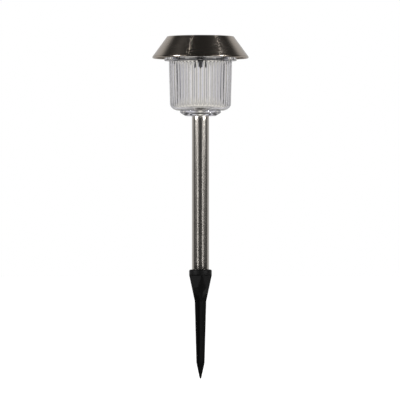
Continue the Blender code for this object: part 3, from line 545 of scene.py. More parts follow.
def coat(tree, shader, base, roughness, height, strength, depth):
    """Links what most finishes vary: base colour, roughness and a raised height of a depth in metres."""
    feed(tree, shader, "Base Color", base)
    feed(tree, shader, "Roughness", roughness)
    bump = put(tree, "Bump", {"Strength": strength, "Distance": depth, "Height": height})
    feed(tree, shader, "Normal", bump.outputs[0])


def tones(base, darker, lighter):
    """Two colours that are a share darker and a share lighter than a base."""
    return (
        (*[part * (1 - darker) for part in base], 1.0),
        (*[min(1.0, part * (1 + lighter)) for part in base], 1.0),
    )


def toned(tree, amount, base, darker, lighter):
    """A base colour that runs from a share darker to a share lighter with an amount of 0 to 1."""
    return blend(tree, amount, *tones(base, darker, lighter))


def noise(tree, point, scale, detail=2.0):
    """Smooth noise of 0 to 1, with a scale in waves to the metre."""
    return put(tree, "TexNoise", {"Vector": point, "Scale": scale, "Detail": detail}).outputs[0]


SHALLOW, RAISED = 0.00001, 0.00002  # depths of a finish's relief, in metres


def moulded(name, base, roughness, fineness=3500.0, height=RAISED):
    """Moulded plastic or rubber: fine grain, and blotches that change its colour and gloss a little."""
    made, tree, shader, point = new_finish(name, roughness)
    grain = use_group(
        tree, shared("Moulded grain", grain_group), {"Point": point, "Fineness": fineness}
    )
    mask = grain.outputs["Mask"]
    base = toned(tree, mask, base, 0.15, 0.3)
    rough = between(tree, mask, roughness - 0.08, roughness + 0.1)
    coat(tree, shader, base, rough, grain.outputs["Height"], 0.35, height)
    return made


def steel(name, base, roughness, lines, relief, anisotropy, rotation):
    """Brushed or drawn steel: fine lines change its roughness and height, slow patches its tone. The
    shader spreads a highlight across the lines."""
    made, tree, shader, point = new_finish(name, roughness, metallic=1.0)
    shader.inputs["Anisotropic"].default_value = anisotropy
    shader.inputs["Anisotropic Rotation"].default_value = rotation
    lines = use_group(tree, shared("Brushed lines", lines_group), {"Point": point, **lines})
    base = toned(tree, lines.outputs["Patches"], base, 0.12, 0.12)
    rough = between(tree, lines.outputs["Lines"], roughness - 0.07, roughness + 0.07)
    coat(tree, shader, base, rough, lines.outputs["Lines"], relief, SHALLOW)
    return made


ROUND_LINES = {"Across lines": 2600.0, "Round scale": 1.2, "Rise": 0.8}
UPRIGHT_LINES = {"Across lines": 1.0, "Round scale": 500.0, "Rise": 2.0}


def plated(name, base, roughness=0.32):
    """Zinc plate: bright metal with small cloudy patches."""
    made, tree, shader, point = new_finish(name, roughness, metallic=1.0)
    clouds = noise(tree, point, 700.0, 5.0)
    base = toned(tree, clouds, base, 0.2, 0.15)
    rough = between(tree, clouds, roughness - 0.1, roughness + 0.12)
    coat(tree, shader, base, rough, clouds, 0.1, SHALLOW)
    return made


def let_lamps_through(tree, shader):
    """Shadow rays pass the clear shader, so the lamps reach what is behind it."""
    open_way = put(tree, "BsdfTransparent", {"Color": (0.9, 0.9, 0.9, 1.0)}).outputs[0]
    path = put(tree, "LightPath").outputs["Is Shadow Ray"]
    both = put(tree, "MixShader", {0: path, 1: shader.outputs[0], 2: open_way})
    tree.links.new(both.outputs[0], tree.nodes["Material Output"].inputs["Surface"])


def clear(name, tint, roughness, ior=1.49):
    """Clear moulded plastic or glass, with a faint waviness and a few dull smears."""
    made, tree, shader, point = new_finish(name, roughness)
    shader.inputs["Transmission Weight"].default_value = 1.0
    shader.inputs["IOR"].default_value = ior
    wavy = noise(tree, point, 90.0)
    smears = noise(tree, point, 240.0, 5.0)
    base = toned(tree, smears, tint, 0.02, 0.02)
    rough = between(tree, smears, roughness * 0.5, roughness * 1.6)
    coat(tree, shader, base, rough, wavy, 0.2, SHALLOW)
    let_lamps_through(tree, shader)
    return made


# --- Operators ---------------------------------------------------------------------------------------


class LIGHT_OT_stage(bpy.types.Operator):
    """Sets up the floor, the backdrop, the soft lights and the camera"""

    bl_idname = "garden_light.stage"
    bl_label = "Stage"

    def execute(self, context):
        settings = context.scene.light_stage
        make_world(context.scene, settings)
        make_floor(settings)
        make_lamps(settings)
        make_camera(context.scene)
        context.scene.view_settings.view_transform = "Standard"
        return {"FINISHED"}


CAMERA_AT = (-0.0006, -4.49, 0.127)
CAMERA_LENS = 324.0
FLOOR_R = 6.0
FLOOR_GLOW = 0.93
BACKDROP_HALF = radians(74)
BACKDROP_TOP = radians(38)
BACKDROP_NARROWS = 0.6  # how fast its half width falls with its height
SOFT_EDGE = radians(12)
SURROUND_WAVES, SURROUND_GROUPS = 24, 8  # how often its brightness rises and falls round the light
WHITE = (1.0, 1.0, 1.0, 1.0)


def make_world(scene, settings):
    """A white surround for the camera. What the light mirrors is a pale backdrop behind it and a dim room
    elsewhere. What is seen through it is a pale surround whose brightness waves with the azimuth."""
    world = bpy.data.worlds.new("studio")
    scene.world = world
    world.use_nodes = True
    tree = world.node_tree
    direction = put(tree, "TexCoord").outputs["Generated"]
    x, y, z = put(tree, "SeparateXYZ", {0: direction}).outputs
    azimuth = calc(tree, "ARCTAN2", x, y)
    aside = calc(tree, "ABSOLUTE", azimuth)
    rise = calc(tree, "ARCSINE", z)
    narrowed = calc(tree, "MULTIPLY_ADD", calc(tree, "MAXIMUM", rise), BACKDROP_NARROWS, aside)
    within = fade(tree, narrowed, BACKDROP_HALF)
    under = fade(tree, rise, BACKDROP_TOP)
    panel = calc(tree, "MULTIPLY", within, under)
    mirrored = between(tree, panel, settings.room, settings.backdrop)
    wave = calc(tree, "COSINE", calc(tree, "MULTIPLY", azimuth, SURROUND_WAVES))
    group = calc(tree, "COSINE", calc(tree, "MULTIPLY", azimuth, SURROUND_GROUPS))
    risen = between(tree, calc(tree, "MULTIPLY_ADD", group, 0.5, 0.5), 0, 1)
    near = calc(tree, "POWER", risen, 1.5)
    strength = calc(tree, "MULTIPLY_ADD", calc(tree, "MULTIPLY", wave, near), settings.wave, 1.0)
    tint = blend(tree, near, (*settings.surround_far, 1.0), (*settings.surround_near, 1.0))
    scaled = put(tree, "VectorMath", {0: tint, "Scale": strength}, operation="SCALE").outputs[0]
    path = put(tree, "LightPath")
    grey = put(tree, "CombineColor", {0: mirrored, 1: mirrored, 2: mirrored}).outputs[0]
    background = tree.nodes["Background"]
    unclear = blend(tree, path.outputs["Is Transmission Ray"], grey, scaled)
    shown = blend(tree, path.outputs["Is Camera Ray"], unclear, WHITE)
    tree.links.new(shown, background.inputs["Color"])


def fade(tree, value, limit):
    """1 well under a limit and 0 well over it."""
    near, far = limit - SOFT_EDGE, limit + SOFT_EDGE
    ends = {"From Min": near, "From Max": far, "To Min": 1.0, "To Max": 0.0}
    faded = put(tree, "MapRange", {"Value": value, **ends}, interpolation_type="SMOOTHSTEP")
    return faded.outputs["Result"]


def make_floor(settings):
    """A pale disc just under the stake's point, which glows a little so that it meets the surround."""
    ground = CAD_BOX[0].z - MILLI
    under = ground - MILLI
    rings = profile_of([(0, under), (FLOOR_R, under), (FLOOR_R, ground), (0, ground)])
    mesh = skin("studio_floor", turned(rings, 96))
    finish, tree, shader, point = new_finish("floor", 0.9)
    mottle = noise(tree, point, 3.0)
    feed(tree, shader, "Base Color", toned(tree, mottle, settings.floor, 0.01, 0.01))
    shader.inputs["Emission Color"].default_value = WHITE
    camera = put(tree, "LightPath").outputs["Is Camera Ray"]
    feed(tree, shader, "Emission Strength", between(tree, camera, 0.0, FLOOR_GLOW))
    mesh.materials.append(finish)
    floor = bpy.data.objects.new("studio_floor", mesh)
    bpy.context.scene.collection.objects.link(floor)
    floor.visible_glossy = False
    floor.visible_transmission = False


HEAD_Z, TUBE_Z = 0.30, 0.05  # the heights that the lamps are turned to
TOP_RIGHT_SHARE = 1.6


def lamp(name, azimuth, height, distance, size, power, shape="DISK", aim=HEAD_Z):
    """A soft light at an azimuth in degrees, measured from the front, turned to a height on the axis."""
    azimuth = radians(azimuth)
    data = bpy.data.lights.new(name, "AREA")
    data.shape = shape
    data.size = size[0]
    if shape == "RECTANGLE":
        data.size_y = size[1]
    data.energy = power
    made = bpy.data.objects.new(name, data)
    bpy.context.scene.collection.objects.link(made)
    made.location = (distance * sin(azimuth), -distance * cos(azimuth), height)
    made.rotation_mode = "QUATERNION"
    made.rotation_quaternion = (Vector((0, 0, aim)) - made.location).to_track_quat("-Z", "Y")
    made.visible_camera = False
    made.visible_transmission = False


def make_lamps(settings):
    """Two round softboxes, two strips for the tube, and two small lamps above for the cap."""
    lamp("softbox_left", -57, 0.50, 1.3, (0.28, 0.28), settings.softbox)
    lamp("softbox_right", 52, 0.50, 1.3, (0.28, 0.28), settings.softbox)
    lamp("strip_left", -37, TUBE_Z, 1.2, (0.14, 0.44), settings.strip, "RECTANGLE", TUBE_Z)
    lamp("strip_right", 31, TUBE_Z, 1.2, (0.16, 0.44), settings.strip, "RECTANGLE", TUBE_Z)
    lamp("top_left", -58, 1.44, 0.43, (0.03, 0.03), settings.top)
    lamp("top_right", 97, 1.38, 0.58, (0.04, 0.04), settings.top * TOP_RIGHT_SHARE)


def make_camera(scene):
    """A long lens, level, in front of the light."""
    data = bpy.data.cameras.new("camera")
    data.lens = CAMERA_LENS
    data.sensor_width = 36.0
    data.clip_end = 50.0
    camera = bpy.data.objects.new("camera", data)
    scene.collection.objects.link(camera)
    camera.location = CAMERA_AT
    camera.rotation_euler = (pi / 2, 0, 0)
    scene.camera = camera


class LIGHT_OT_cap(bpy.types.Operator):
    """Makes the brushed steel cap with its rolled edge, hemmed rim and window"""

    bl_idname = "garden_light.cap"
    bl_label = "Cap"

    def execute(self, context):
        settings = context.scene.light_cap
        finish = steel(
            "brushed_steel", settings.steel, settings.roughness, ROUND_LINES, 0.05, 0.7, 0.25
        )
        mesh = skin("steel_cap", cap_surface(settings), closed=True)
        piece(mesh, finish, "brushed_steel", "cap_shell")
        return {"FINISHED"}


def square_radius(half, sides):
    """How far a square's side lies from its centre at each azimuth: the half width over the larger of
    the azimuth's cosine and sine."""
    angles = azimuths(sides)
    return half / np.maximum(np.abs(np.cos(angles)), np.abs(np.sin(angles)))


CAP_FLAT_R = 0.0380  # the top is plain within this radius
HEM_HALF = 0.6  # the hem's half thickness as a share of its half height
CREASE = 0.0003  # how far the groove over the hem is drawn in


def cap_surface(settings, sides=384):
    """A profile turned about the axis: up the outside of the hem and the flank, over the rolled edge and
    the top, and back inside. From its last circle the top runs straight to the square window."""
    bottom, top = low_z("cap_shell"), high_z("cap_shell")
    rim, edge, sheet = settings.rim_radius, settings.edge_radius, settings.sheet
    hem, bead = settings.hem_height, settings.hem_height / 2
    thick = HEM_HALF * bead
    edge_at = (settings.top_radius - edge, top - edge)
    foot = (rim - CREASE, bottom + hem)
    lean = flank_lean(edge_at, edge, foot)
    inner_edge = edge - sheet

    def touch(radius):
        return edge_at[0] + radius * cos(lean), edge_at[1] + radius * sin(lean)

    outer = profile_of(
        arc((rim - thick, bottom + bead), (thick, bead), -pi / 2, pi / 2 - 0.5, 9),
        (rim - CREASE * 1.8, bottom + hem * 0.93),
        run(foot, touch(edge), 10),
        arc(edge_at, (edge, edge), lean, pi / 2, 7),
        run((edge_at[0], top), (CAP_FLAT_R, top), 3),
    )
    inner = profile_of(
        run((CAP_FLAT_R, top - sheet), (edge_at[0], top - sheet), 3),
        arc(edge_at, (inner_edge, inner_edge), pi / 2, lean, 5),
        run(touch(inner_edge), (foot[0] - sheet / cos(lean), foot[1] - hem * 0.1), 10),
        run((rim - 2.1 * thick, bottom + hem * 0.75), (rim - 2.1 * thick, bottom + hem * 0.3)),
    )
    square = square_radius(settings.window_half, sides)
    window = [polar_grid(square[None], np.array([z])) for z in (top, top - sheet)]
    return np.concatenate([turned(outer, sides), *window, turned(inner, sides)])


def flank_lean(edge_at, edge, foot):
    """The angle at which a straight line from the foot touches the edge's circle, from the +r axis."""
    apart_r, apart_z = foot[0] - edge_at[0], foot[1] - edge_at[1]
    return atan2(apart_z, apart_r) + acos(edge / hypot(apart_r, apart_z))


class LIGHT_OT_lens(bpy.types.Operator):
    """Makes the clear fluted lens with its flange, foot, spigot and bayonet ledges"""

    bl_idname = "garden_light.lens"
    bl_label = "Lens"

    def execute(self, context):
        settings = context.scene.light_lens
        finish = clear("clear_plastic", settings.tint, settings.roughness)
        mesh = skin("fluted_lens", lens_surface(settings))
        piece(mesh, finish, "clear_plastic", "lens", body="lens")
        return {"FINISHED"}


FOOT = 0.2317  # the lens's lower face, where it stands out round the tube
TIER_HEIGHT = 0.0066
TIER_RADIUS = 0.0253
TIER_LOW_RADIUS = 0.0198
TIER_ROUND_R, TIER_ROUND_Z = 0.0020, 0.0016  # half axes of the tier's rounded side
FOOT_WIDE, FOOT_HIGH = 0.0123, 0.0087  # half axes of the rounded foot
SPIGOT_GAP = 0.00095  # between the tube's outside and either spigot
SPIGOT_WALL = 0.0020
TUBE_GAP = 0.00035  # between the tube's outside and the lens's recess
FLANGE_THICK = 0.0040
RECESS_DEPTH = 0.0032
WELL_RADIUS = 0.0180
WELL_FLOOR = 0.0026
FLUTE_STEPS = 12  # columns to each flute


def smooth_step(value, low, high):
    """0 below low and 1 above high, with a cubic between."""
    t = np.clip((value - low) / (high - low), 0, 1)
    return t * t * (3 - 2 * t)


def lens_surface(settings):
    """A turned wall from the spigot up the outside, over the flange and down the inside to the floor.
    On the inside each radius loses the flute's depth times the size of a sine of the azimuth, which has
    one arch to a flute and narrows to a point where the flute runs out."""
    wall = settings.wall
    top = high_z("lens")
    spigot_low = low_z("lens")
    under_flange = top - FLANGE_THICK
    recess = FOOT + RECESS_DEPTH
    tube_r = half_width("tube")
    spigot_r, recess_r = tube_r - SPIGOT_GAP, tube_r + TUBE_GAP
    bore_r = spigot_r - SPIGOT_WALL
    flange = half_width("lens")
    body = settings.body_radius
    low_body = body - settings.draft
    tier_top = FOOT + TIER_HEIGHT
    tier_at = (TIER_RADIUS - TIER_ROUND_R, tier_top - TIER_ROUND_Z - 0.0003)
    foot_at = (low_body - FOOT_WIDE, tier_top + FOOT_HIGH)
    soft, lip = 0.0005, 0.001
    outer = profile_of(
        (0, recess),
        run((bore_r, recess), (bore_r, spigot_low)),
        run((spigot_r - soft, spigot_low), (spigot_r, spigot_low + soft)),
        run((spigot_r, recess), (recess_r, recess)),
        run((recess_r, FOOT + soft), (recess_r + soft, FOOT)),
        (TIER_LOW_RADIUS - lip, FOOT),
        arc((TIER_LOW_RADIUS - lip, FOOT + lip), (lip, lip), -pi / 2, -pi / 8, 5),
        arc(tier_at, (TIER_ROUND_R, TIER_ROUND_Z), -pi / 4, 0, 7),
        run((TIER_RADIUS, tier_top - 0.0004), (TIER_RADIUS - 0.0002, tier_top)),
        arc(foot_at, (FOOT_WIDE, FOOT_HIGH), -pi / 2 + 0.02, 0, 25),
        run((low_body, foot_at[1]), (body, under_flange - 0.0006), 8),
        (body + 0.0006, under_flange),
        corner(flange, under_flange, 0.0009, LOWER_OUTER, 6),
        corner(flange, top, soft, UPPER_OUTER, 5),
    )
    inner = profile_of(
        corner(body - wall, top, soft, UPPER_INNER),
        run((body - wall, top - 0.0012), (body - wall, under_flange - 0.0008), 12),
        run((body - wall, under_flange - 0.0010), (low_body - wall, foot_at[1]), 26),
        arc(foot_at, (FOOT_WIDE - wall, FOOT_HIGH - wall), 0, -pi / 2, 19),
        (WELL_RADIUS + 0.0005, tier_top + wall),
        run((WELL_RADIUS, tier_top + wall - 0.0005), (WELL_RADIUS, recess + WELL_FLOOR)),
        (0, recess + WELL_FLOOR),
    )
    sides = settings.flutes * FLUTE_STEPS
    grid = turned(np.concatenate([outer, inner]), sides)
    z = inner[:, 1:]
    radius = inner[:, :1]
    angles = azimuths(sides)[None]
    ridge = np.abs(np.cos(settings.flutes / 2 * angles))
    fades = smooth_step(z, tier_top + wall - 0.0001, foot_at[1] + 0.0060)
    fades = fades * (1 - smooth_step(z, under_flange - 0.0022, under_flange - 0.0012))
    ridge = np.maximum(ridge - (1 - fades), 0)
    on_wall = radius > WELL_RADIUS + 0.004
    drawn_in = settings.flute_depth * ridge * on_wall
    drawn_in = drawn_in + bayonet_steps(angles, z, top)
    scale = np.where(radius > 0, (radius - drawn_in) / np.maximum(radius, MILLI), 1.0)
    grid[len(outer):, :, :2] *= scale[:, :, None]
    return grid


HOOKS = (radians(90), radians(210), radians(330))
LEDGE_REACH, LEDGE_HALF = 0.0025, radians(18)  # how far a ledge stands in, and half its width


def bayonet_steps(angles, z, top):
    """How far the wall stands in at each point: the ledges' reach inside an azimuth and a height, with
    steep smooth sides."""
    total, soft = 0.0, 0.0002
    ledge_top, ledge_low = top - 0.0004, top - 0.0024
    level = smooth_step(z, ledge_low - soft, ledge_low)
    level = level * (1 - smooth_step(z, ledge_top, ledge_top + soft))
    for middle in HOOKS:
        apart = np.abs((angles - middle + pi) % (2 * pi) - pi)
        total = total + (1 - smooth_step(apart, LEDGE_HALF - radians(0.6), LEDGE_HALF)) * level
    return LEDGE_REACH * total


class LIGHT_OT_tube(bpy.types.Operator):
    """Makes the drawn steel tube"""

    bl_idname = "garden_light.tube"
    bl_label = "Tube"

    def execute(self, context):
        settings = context.scene.light_tube
        finish = steel(
            "polished_steel", settings.steel, settings.roughness, UPRIGHT_LINES, 0.004, 0.5, 0.0
        )
        low, high = low_z("tube"), high_z("tube")
        radius, bore = settings.radius, settings.radius - settings.wall
        edge = settings.wall / 3
        ring = profile_of(
            corner(radius, low, edge, LOWER_OUTER),
            run((radius, low + edge), (radius, high - edge), 24),
            corner(radius, high, edge, UPPER_OUTER),
            corner(bore, high, edge, UPPER_INNER),
            run((bore, high - edge), (bore, low + edge), 12),
            corner(bore, low, edge, LOWER_INNER),
        )
        mesh = skin("steel_tube", turned(ring, 144), closed=True)
        piece(mesh, finish, "polished_steel", "tube", body="tube")
        return {"FINISHED"}


class LIGHT_OT_stake(bpy.types.Operator):
    """Makes the ground stake, a funnel that runs out into four ribs and a point"""

    bl_idname = "garden_light.stake"
    bl_label = "Stake"

    def execute(self, context):
        settings = context.scene.light_stake
        finish = moulded("black_plastic", settings.plastic, 0.5)
        finish.node_tree.nodes["Principled BSDF"].inputs["Specular IOR Level"].default_value = 0.2
        mesh = skin("ground_stake", stake_surface(settings))
        piece(mesh, finish, "black_plastic", "stake", body="stake")
        return {"FINISHED"}


HEAD_RADIUS = 0.0141
HEAD_TOP = 0.0403
HEAD_SHOULDER = 0.0330
SPIGOT_TOP = 0.0663
SPIGOT_BORE, SPIGOT_BORE_DEPTH = 0.0070, 0.0400
GROOVE_LOW = -0.0040  # the grooves between the ribs have no floor under this height
BLADE_MIDDLE, BLADE_MIDDLE_R = -0.0190, 0.0065
POINT_TOP, POINT_TOP_R = -0.0762, 0.0050
POINT_R = 0.0009


def stake_surface(settings, sides=288):
    """Radii on a grid of heights by azimuths. Between the ribs it is the largest of a rib's side, half
    the rib's thickness over a sine, and a sloping groove floor, its distance over a cosine. The funnel
    and the ribs' outer edges limit it."""
    tip = low_z("stake")
    heights = np.concatenate(
        [
            np.linspace(tip, POINT_TOP, 14),
            np.linspace(POINT_TOP, GROOVE_LOW, 20)[1:],
            np.linspace(GROOVE_LOW, 0.0190, 40)[1:],
            np.linspace(0.0190, HEAD_SHOULDER, 8)[1:],
        ]
    )
    z = heights[:, None]
    funnel = settings.neck_radius + (HEAD_RADIUS - settings.neck_radius) * z / HEAD_SHOULDER
    reach = np.interp(
        heights,
        [tip, POINT_TOP, BLADE_MIDDLE, 0, HEAD_SHOULDER],
        [POINT_R, POINT_TOP_R, BLADE_MIDDLE_R, settings.neck_radius, HEAD_RADIUS],
    )[:, None]
    half = np.interp(heights, [tip, POINT_TOP], [POINT_R / 2, settings.rib / 2])[:, None]
    angles = azimuths(sides)[None] - settings.turn
    fold = np.abs((angles + pi / 4) % (pi / 2) - pi / 4)
    side = half / np.maximum(np.sin(fold), 1e-6)
    slope = [GROOVE_LOW, settings.scallop_top], [0.0, settings.neck_radius * 1.50]
    floor = np.interp(heights, *slope)[:, None] / np.cos(pi / 4 - fold)
    ribs = np.maximum(side, floor)
    flat_edge = np.where(z < 0, reach / np.cos(fold), np.maximum(funnel, 0))
    radii = np.minimum(ribs, flat_edge)
    body = polar_grid(radii, heights)
    head = profile_of(
        [(HEAD_RADIUS, HEAD_SHOULDER + 0.0012)],
        corner(HEAD_RADIUS, HEAD_TOP, 0.0019, UPPER_OUTER, 8),
        [(half_width("tube"), HEAD_TOP)],
    )
    spigot, core = half_width("tube") - SPIGOT_GAP, SPIGOT_BORE
    upper = profile_of(
        run((spigot, HEAD_TOP), (spigot, SPIGOT_TOP - 0.0005), 3),
        [(spigot - 0.0005, SPIGOT_TOP), (core + 0.0003, SPIGOT_TOP), (core, SPIGOT_TOP - 0.0003)],
        [(core, SPIGOT_TOP - SPIGOT_BORE_DEPTH), (0, SPIGOT_TOP - SPIGOT_BORE_DEPTH)],
    )
    rest = turned(np.concatenate([head, upper]), sides)
    point = np.repeat(np.array([[[0, 0, tip]]]), sides, axis=1)
    return np.concatenate([point, body, rest])


class LIGHT_OT_panel(bpy.types.Operator):
    """Makes the solar panel: its surround, gasket, board, cells with busbars, and cover glass"""

    bl_idname = "garden_light.panel"
    bl_label = "Solar panel"

    def execute(self, context):
        settings = context.scene.light_panel
        parts = context.scene.light_parts
        plastic = moulded("panel_plastic", parts.plastic, 0.38)
        surround = skin("panel_surround", surround_surface(settings))
        piece(surround, plastic, "black_plastic", "panel_frame")
        board = cut_plate("panel_board", settings.corner, 0.0002)
        piece(skin("cell_board", board), board_finish(parts), "board_green", "panel_board")
        dress(moulded("gasket_rubber", parts.rubber, 0.75), "panel_gasket")
        make_cells(settings)
        glass = clear("panel_cover", (0.93, 0.96, 1.0), 0.04, ior=1.5)
        mesh = skin("cover_glass", cut_plate("panel_glass", settings.corner, 0.0003))
        piece(mesh, glass, "panel_cover", "panel_glass")
        return {"FINISHED"}


def cut_outline(half, cut, bend=0.0008):
    """An eight-sided outline that can be drawn in: each of its sides moves in by the inset."""
    return lambda inset: eight_sided(
        half - inset, cut - (2 - sqrt(2)) * inset, max(bend - inset, 0.0001)
    )


def cut_plate(node, cut, edge):
    """A plate that fills a square CAD node's box, with cut corners and rounded edges."""
    return plate(cut_outline(half_width(node), cut), low_z(node), high_z(node), edge)


def surround_surface(settings):
    """Outlines at rising heights: the body up to the lip, round the lip, and down the pocket inside."""
    low, top = low_z("panel_frame"), high_z("panel_frame")
    lip_half = half_width("panel_frame")
    body_half, pocket_half = lip_half - 0.0024, half_width("panel_glass") + 0.0003
    pocket_low = low_z("panel_board") - 0.0003
    cut = 0.0018
    top -= 0.0005  # the lip lies on the cap
    under_lip = top - 0.0004
    body, lip, pocket = (
        cut_outline(body_half, cut),
        cut_outline(lip_half, cut),
        cut_outline(pocket_half, settings.corner),
    )
    turns = np.linspace(0, pi / 2, 5)
    edge = 0.0005
    rolled = [(lip(edge * (1 - cos(a))), top - edge * (1 - sin(a))) for a in turns]
    rim = [(pocket(-edge * (1 - sin(a))), top - edge * (1 - cos(a))) for a in turns]
    return stacked(
        [
            ([], low),
            (body(0.0003), low),
            (body(0), low + 0.0003),
            (body(0), under_lip),
            (lip(0), under_lip),
            *rolled,
            *rim,
            (pocket(0), pocket_low),
            ([], pocket_low),
        ]
    )


def make_cells(settings):
    """The cell plate, with printed lines in its finish, and busbars that stand just above it."""
    high, half = high_z("solar_cells"), half_width("solar_cells")
    mesh = skin("cell_plate", cut_plate("solar_cells", settings.corner, 0.0001))
    piece(mesh, silicon_finish(settings, half), "silicon", "solar_cells")
    finish = plated("busbar_silver", settings.silver, 0.3)
    strips = []
    bar_half = settings.busbar / 2
    for x in np.linspace(-0.75, 0.75, 4) * half:
        reach = min(half - 0.0012, 2 * half - settings.corner - abs(x) - 0.0012)
        bar = plate(oblong_outline(bar_half, reach, 0.00015), high, high + 0.00012, 0.00004)
        strips.append(bar + np.array([x, 0, 0]))
    piece(skin("cell_busbars", *strips), finish, "zinc_plate")


def silicon_finish(settings, half):
    """Blue-black silicon: crystal patches, fine printed lines across, and dark gaps between cells."""
    made, tree, shader, point = new_finish("silicon", 0.3)
    x, y, _ = put(tree, "SeparateXYZ", {0: point}).outputs
    crystals = put(tree, "TexVoronoi", {"Vector": point, "Scale": 260.0}).outputs["Color"]
    tone = put(tree, "SeparateColor", {0: crystals}).outputs[0]
    body = toned(tree, tone, settings.silicon, 0.25, 0.6)
    pitch = half / 14
    finger = calc(tree, "LESS_THAN", calc(tree, "PINGPONG", y, pitch / 2), 0.00006)
    silver = (*settings.silver, 1.0)
    lined = blend(tree, calc(tree, "MULTIPLY", finger, 0.7), body, silver)
    gap = calc(tree, "LESS_THAN", calc(tree, "PINGPONG", x, half / 4), 0.0002)
    base = blend(tree, gap, lined, (0.004, 0.004, 0.006, 1.0))
    coat(tree, shader, base, between(tree, tone, 0.2, 0.4), finger, 0.2, RAISED)
    return made


def board_finish(parts):
    """Solder mask over copper: darker rows where tracks run under it, and tinned dots."""
    made, tree, shader, point = new_finish("board_green", 0.4)
    tracks = put(
        tree, "TexBrick", {"Vector": point, "Scale": 260.0, "Mortar Size": 0.12}, offset=0.3
    ).outputs["Fac"]
    dark, light = tones(parts.board, 0.35, 0.35)
    mask = blend(tree, tracks, light, dark)
    dots = put(tree, "TexVoronoi", {"Vector": point, "Scale": 330.0}).outputs["Distance"]
    tinned = calc(tree, "LESS_THAN", dots, 0.12)
    base = blend(tree, tinned, mask, (*parts.zinc, 1.0))
    coat(tree, shader, base, between(tree, tinned, 0.42, 0.3), tracks, 0.3, RAISED * 1.5)
    return made


LED_LENGTH = 0.0086  # from the dome's tip to the back of its rim
LED_RADIUS = 0.0025
LED_RIM_HEIGHT = 0.0010
LEG_ASIDE = 0.00127


class LIGHT_OT_lamp(bpy.types.Operator):
    """Makes the LED with its chip and legs, and the collar round it"""

    bl_idname = "garden_light.lamp"
    bl_label = "LED"

    def execute(self, context):
        settings = context.scene.light_lamp
        parts = context.scene.light_parts
        tip, top = low_z("led"), low_z("led") + LED_LENGTH
        radius, rim, under_rim = LED_RADIUS, half_width("led"), top - LED_RIM_HEIGHT
        dome = profile_of(
            arc((0, tip + radius), (radius, radius), -pi / 2, 0, 14),
            run((radius, tip + radius), (radius, under_rim), 3),
            run((rim, under_rim), (rim, top)),
            (0, top),
        )
        epoxy = clear("led_epoxy", (0.98, 0.97, 0.94), 0.05, ior=1.53)
        piece(skin("led_dome", turned(dome, 64)), epoxy, "clear_plastic", "led")
        make_chip(settings, parts, tip + radius * 1.5)
        make_collar(parts)
        return {"FINISHED"}


def make_chip(settings, parts, middle):
    """A small cup inside the dome with phosphor in it, on one of two legs that reach the board."""
    cup_r, cup_depth = 0.0009, 0.0007
    cup = profile_of(
        (0, middle + 0.0010),
        run((cup_r * 0.7, middle + 0.0010), (cup_r, middle)),
        (cup_r * 0.88, middle),
        (cup_r * 0.6, middle + cup_depth * 0.6),
        (0, middle + cup_depth * 0.6),
    )[::-1]
    metal = plated("lead_frame", parts.zinc, 0.25)
    leg = 0.00025
    board = high_z("led")
    post = plate(oblong_outline(leg, leg, 0.00008), middle + 0.0009, board, 0.00005)
    legs = [post + np.array([x, 0, 0]) for x in (-LEG_ASIDE, LEG_ASIDE)]
    piece(skin("led_frame", turned(cup, 32), *legs), metal, "zinc_plate")
    fill = profile_of(
        arc((0, middle + 0.0001), (cup_r * 0.8, 0.00035), -pi / 2, 0, 6), (0, middle + 0.0001)
    )
    made, tree, shader, point = new_finish("phosphor", 0.6)
    grit = noise(tree, point, 6000.0)
    for name in ("Base Color", "Emission Color"):
        feed(tree, shader, name, toned(tree, grit, settings.phosphor, 0.1, 0.1))
    shader.inputs["Emission Strength"].default_value = settings.glow
    piece(skin("led_phosphor", turned(fill, 24)), made, "clear_plastic")


def make_collar(parts):
    """The black collar: a slim sleeve round the dome, and a wider neck round the LED's flange."""
    mouth, seat, top = low_z("led_collar"), low_z("housing_cover"), high_z("led_collar")
    wide, sleeve, dome_bore, bore, neck = half_width("led_collar"), 0.0034, 0.0028, 0.0032, 0.0042
    ledge, lip = low_z("led") + 0.0073, 0.0002
    ring = profile_of(
        corner(sleeve, mouth, lip, LOWER_OUTER),
        run((sleeve, ledge - 0.0012), (sleeve + 0.0002, ledge - 0.0008)),
        run((wide - 0.0003, ledge - 0.0008), (wide, ledge - 0.0005)),
        run((wide, seat - 0.0004), (wide - 0.0002, seat - 0.0003)),
        run((neck, seat - 0.0003), (neck, top)),
        run((bore, top), (bore, ledge)),
        run((dome_bore, ledge), (dome_bore, mouth + lip)),
        (dome_bore + lip, mouth),
    )
    finish = moulded("collar_plastic", parts.plastic, 0.4)
    mesh = skin("lamp_collar", turned(ring, 64), closed=True)
    piece(mesh, finish, "black_plastic", "led_collar")


class LIGHT_OT_housing(bpy.types.Operator):
    """Finishes the housing, its cover, the battery door and the lens's seal"""

    bl_idname = "garden_light.housing"
    bl_label = "Housing"

    def execute(self, context):
        parts = context.scene.light_parts
        plastic = moulded("housing_plastic", parts.plastic, 0.45)
        dress(plastic, "head_housing", "housing_cover", "battery_door")
        make_seal(moulded("seal_rubber", parts.rubber, 0.8))
        return {"FINISHED"}


def make_seal(rubber):
    """The lens's seal: a turned ring with rounded edges and a bead along the middle of each face."""
    low, high, outer = low_z("lens_seal"), high_z("lens_seal"), half_width("lens_seal")
    width, edge, bead, dip = 0.0036, 0.0003, 0.0006, 0.0001
    middle = outer - width / 2
    ring = profile_of(
        corner(outer, low, edge, LOWER_OUTER),
        corner(outer, high, edge, UPPER_OUTER),
        [(middle + bead, high - dip), (middle, high), (middle - bead, high - dip)],
        corner(outer - width, high, edge, UPPER_INNER),
        corner(outer - width, low, edge, LOWER_INNER),
        [(middle - bead, low + dip), (middle, low), (middle + bead, low + dip)],
    )
    mesh = skin("rubber_seal", turned(ring, 144), closed=True)
    piece(mesh, rubber, "black_rubber", "lens_seal")


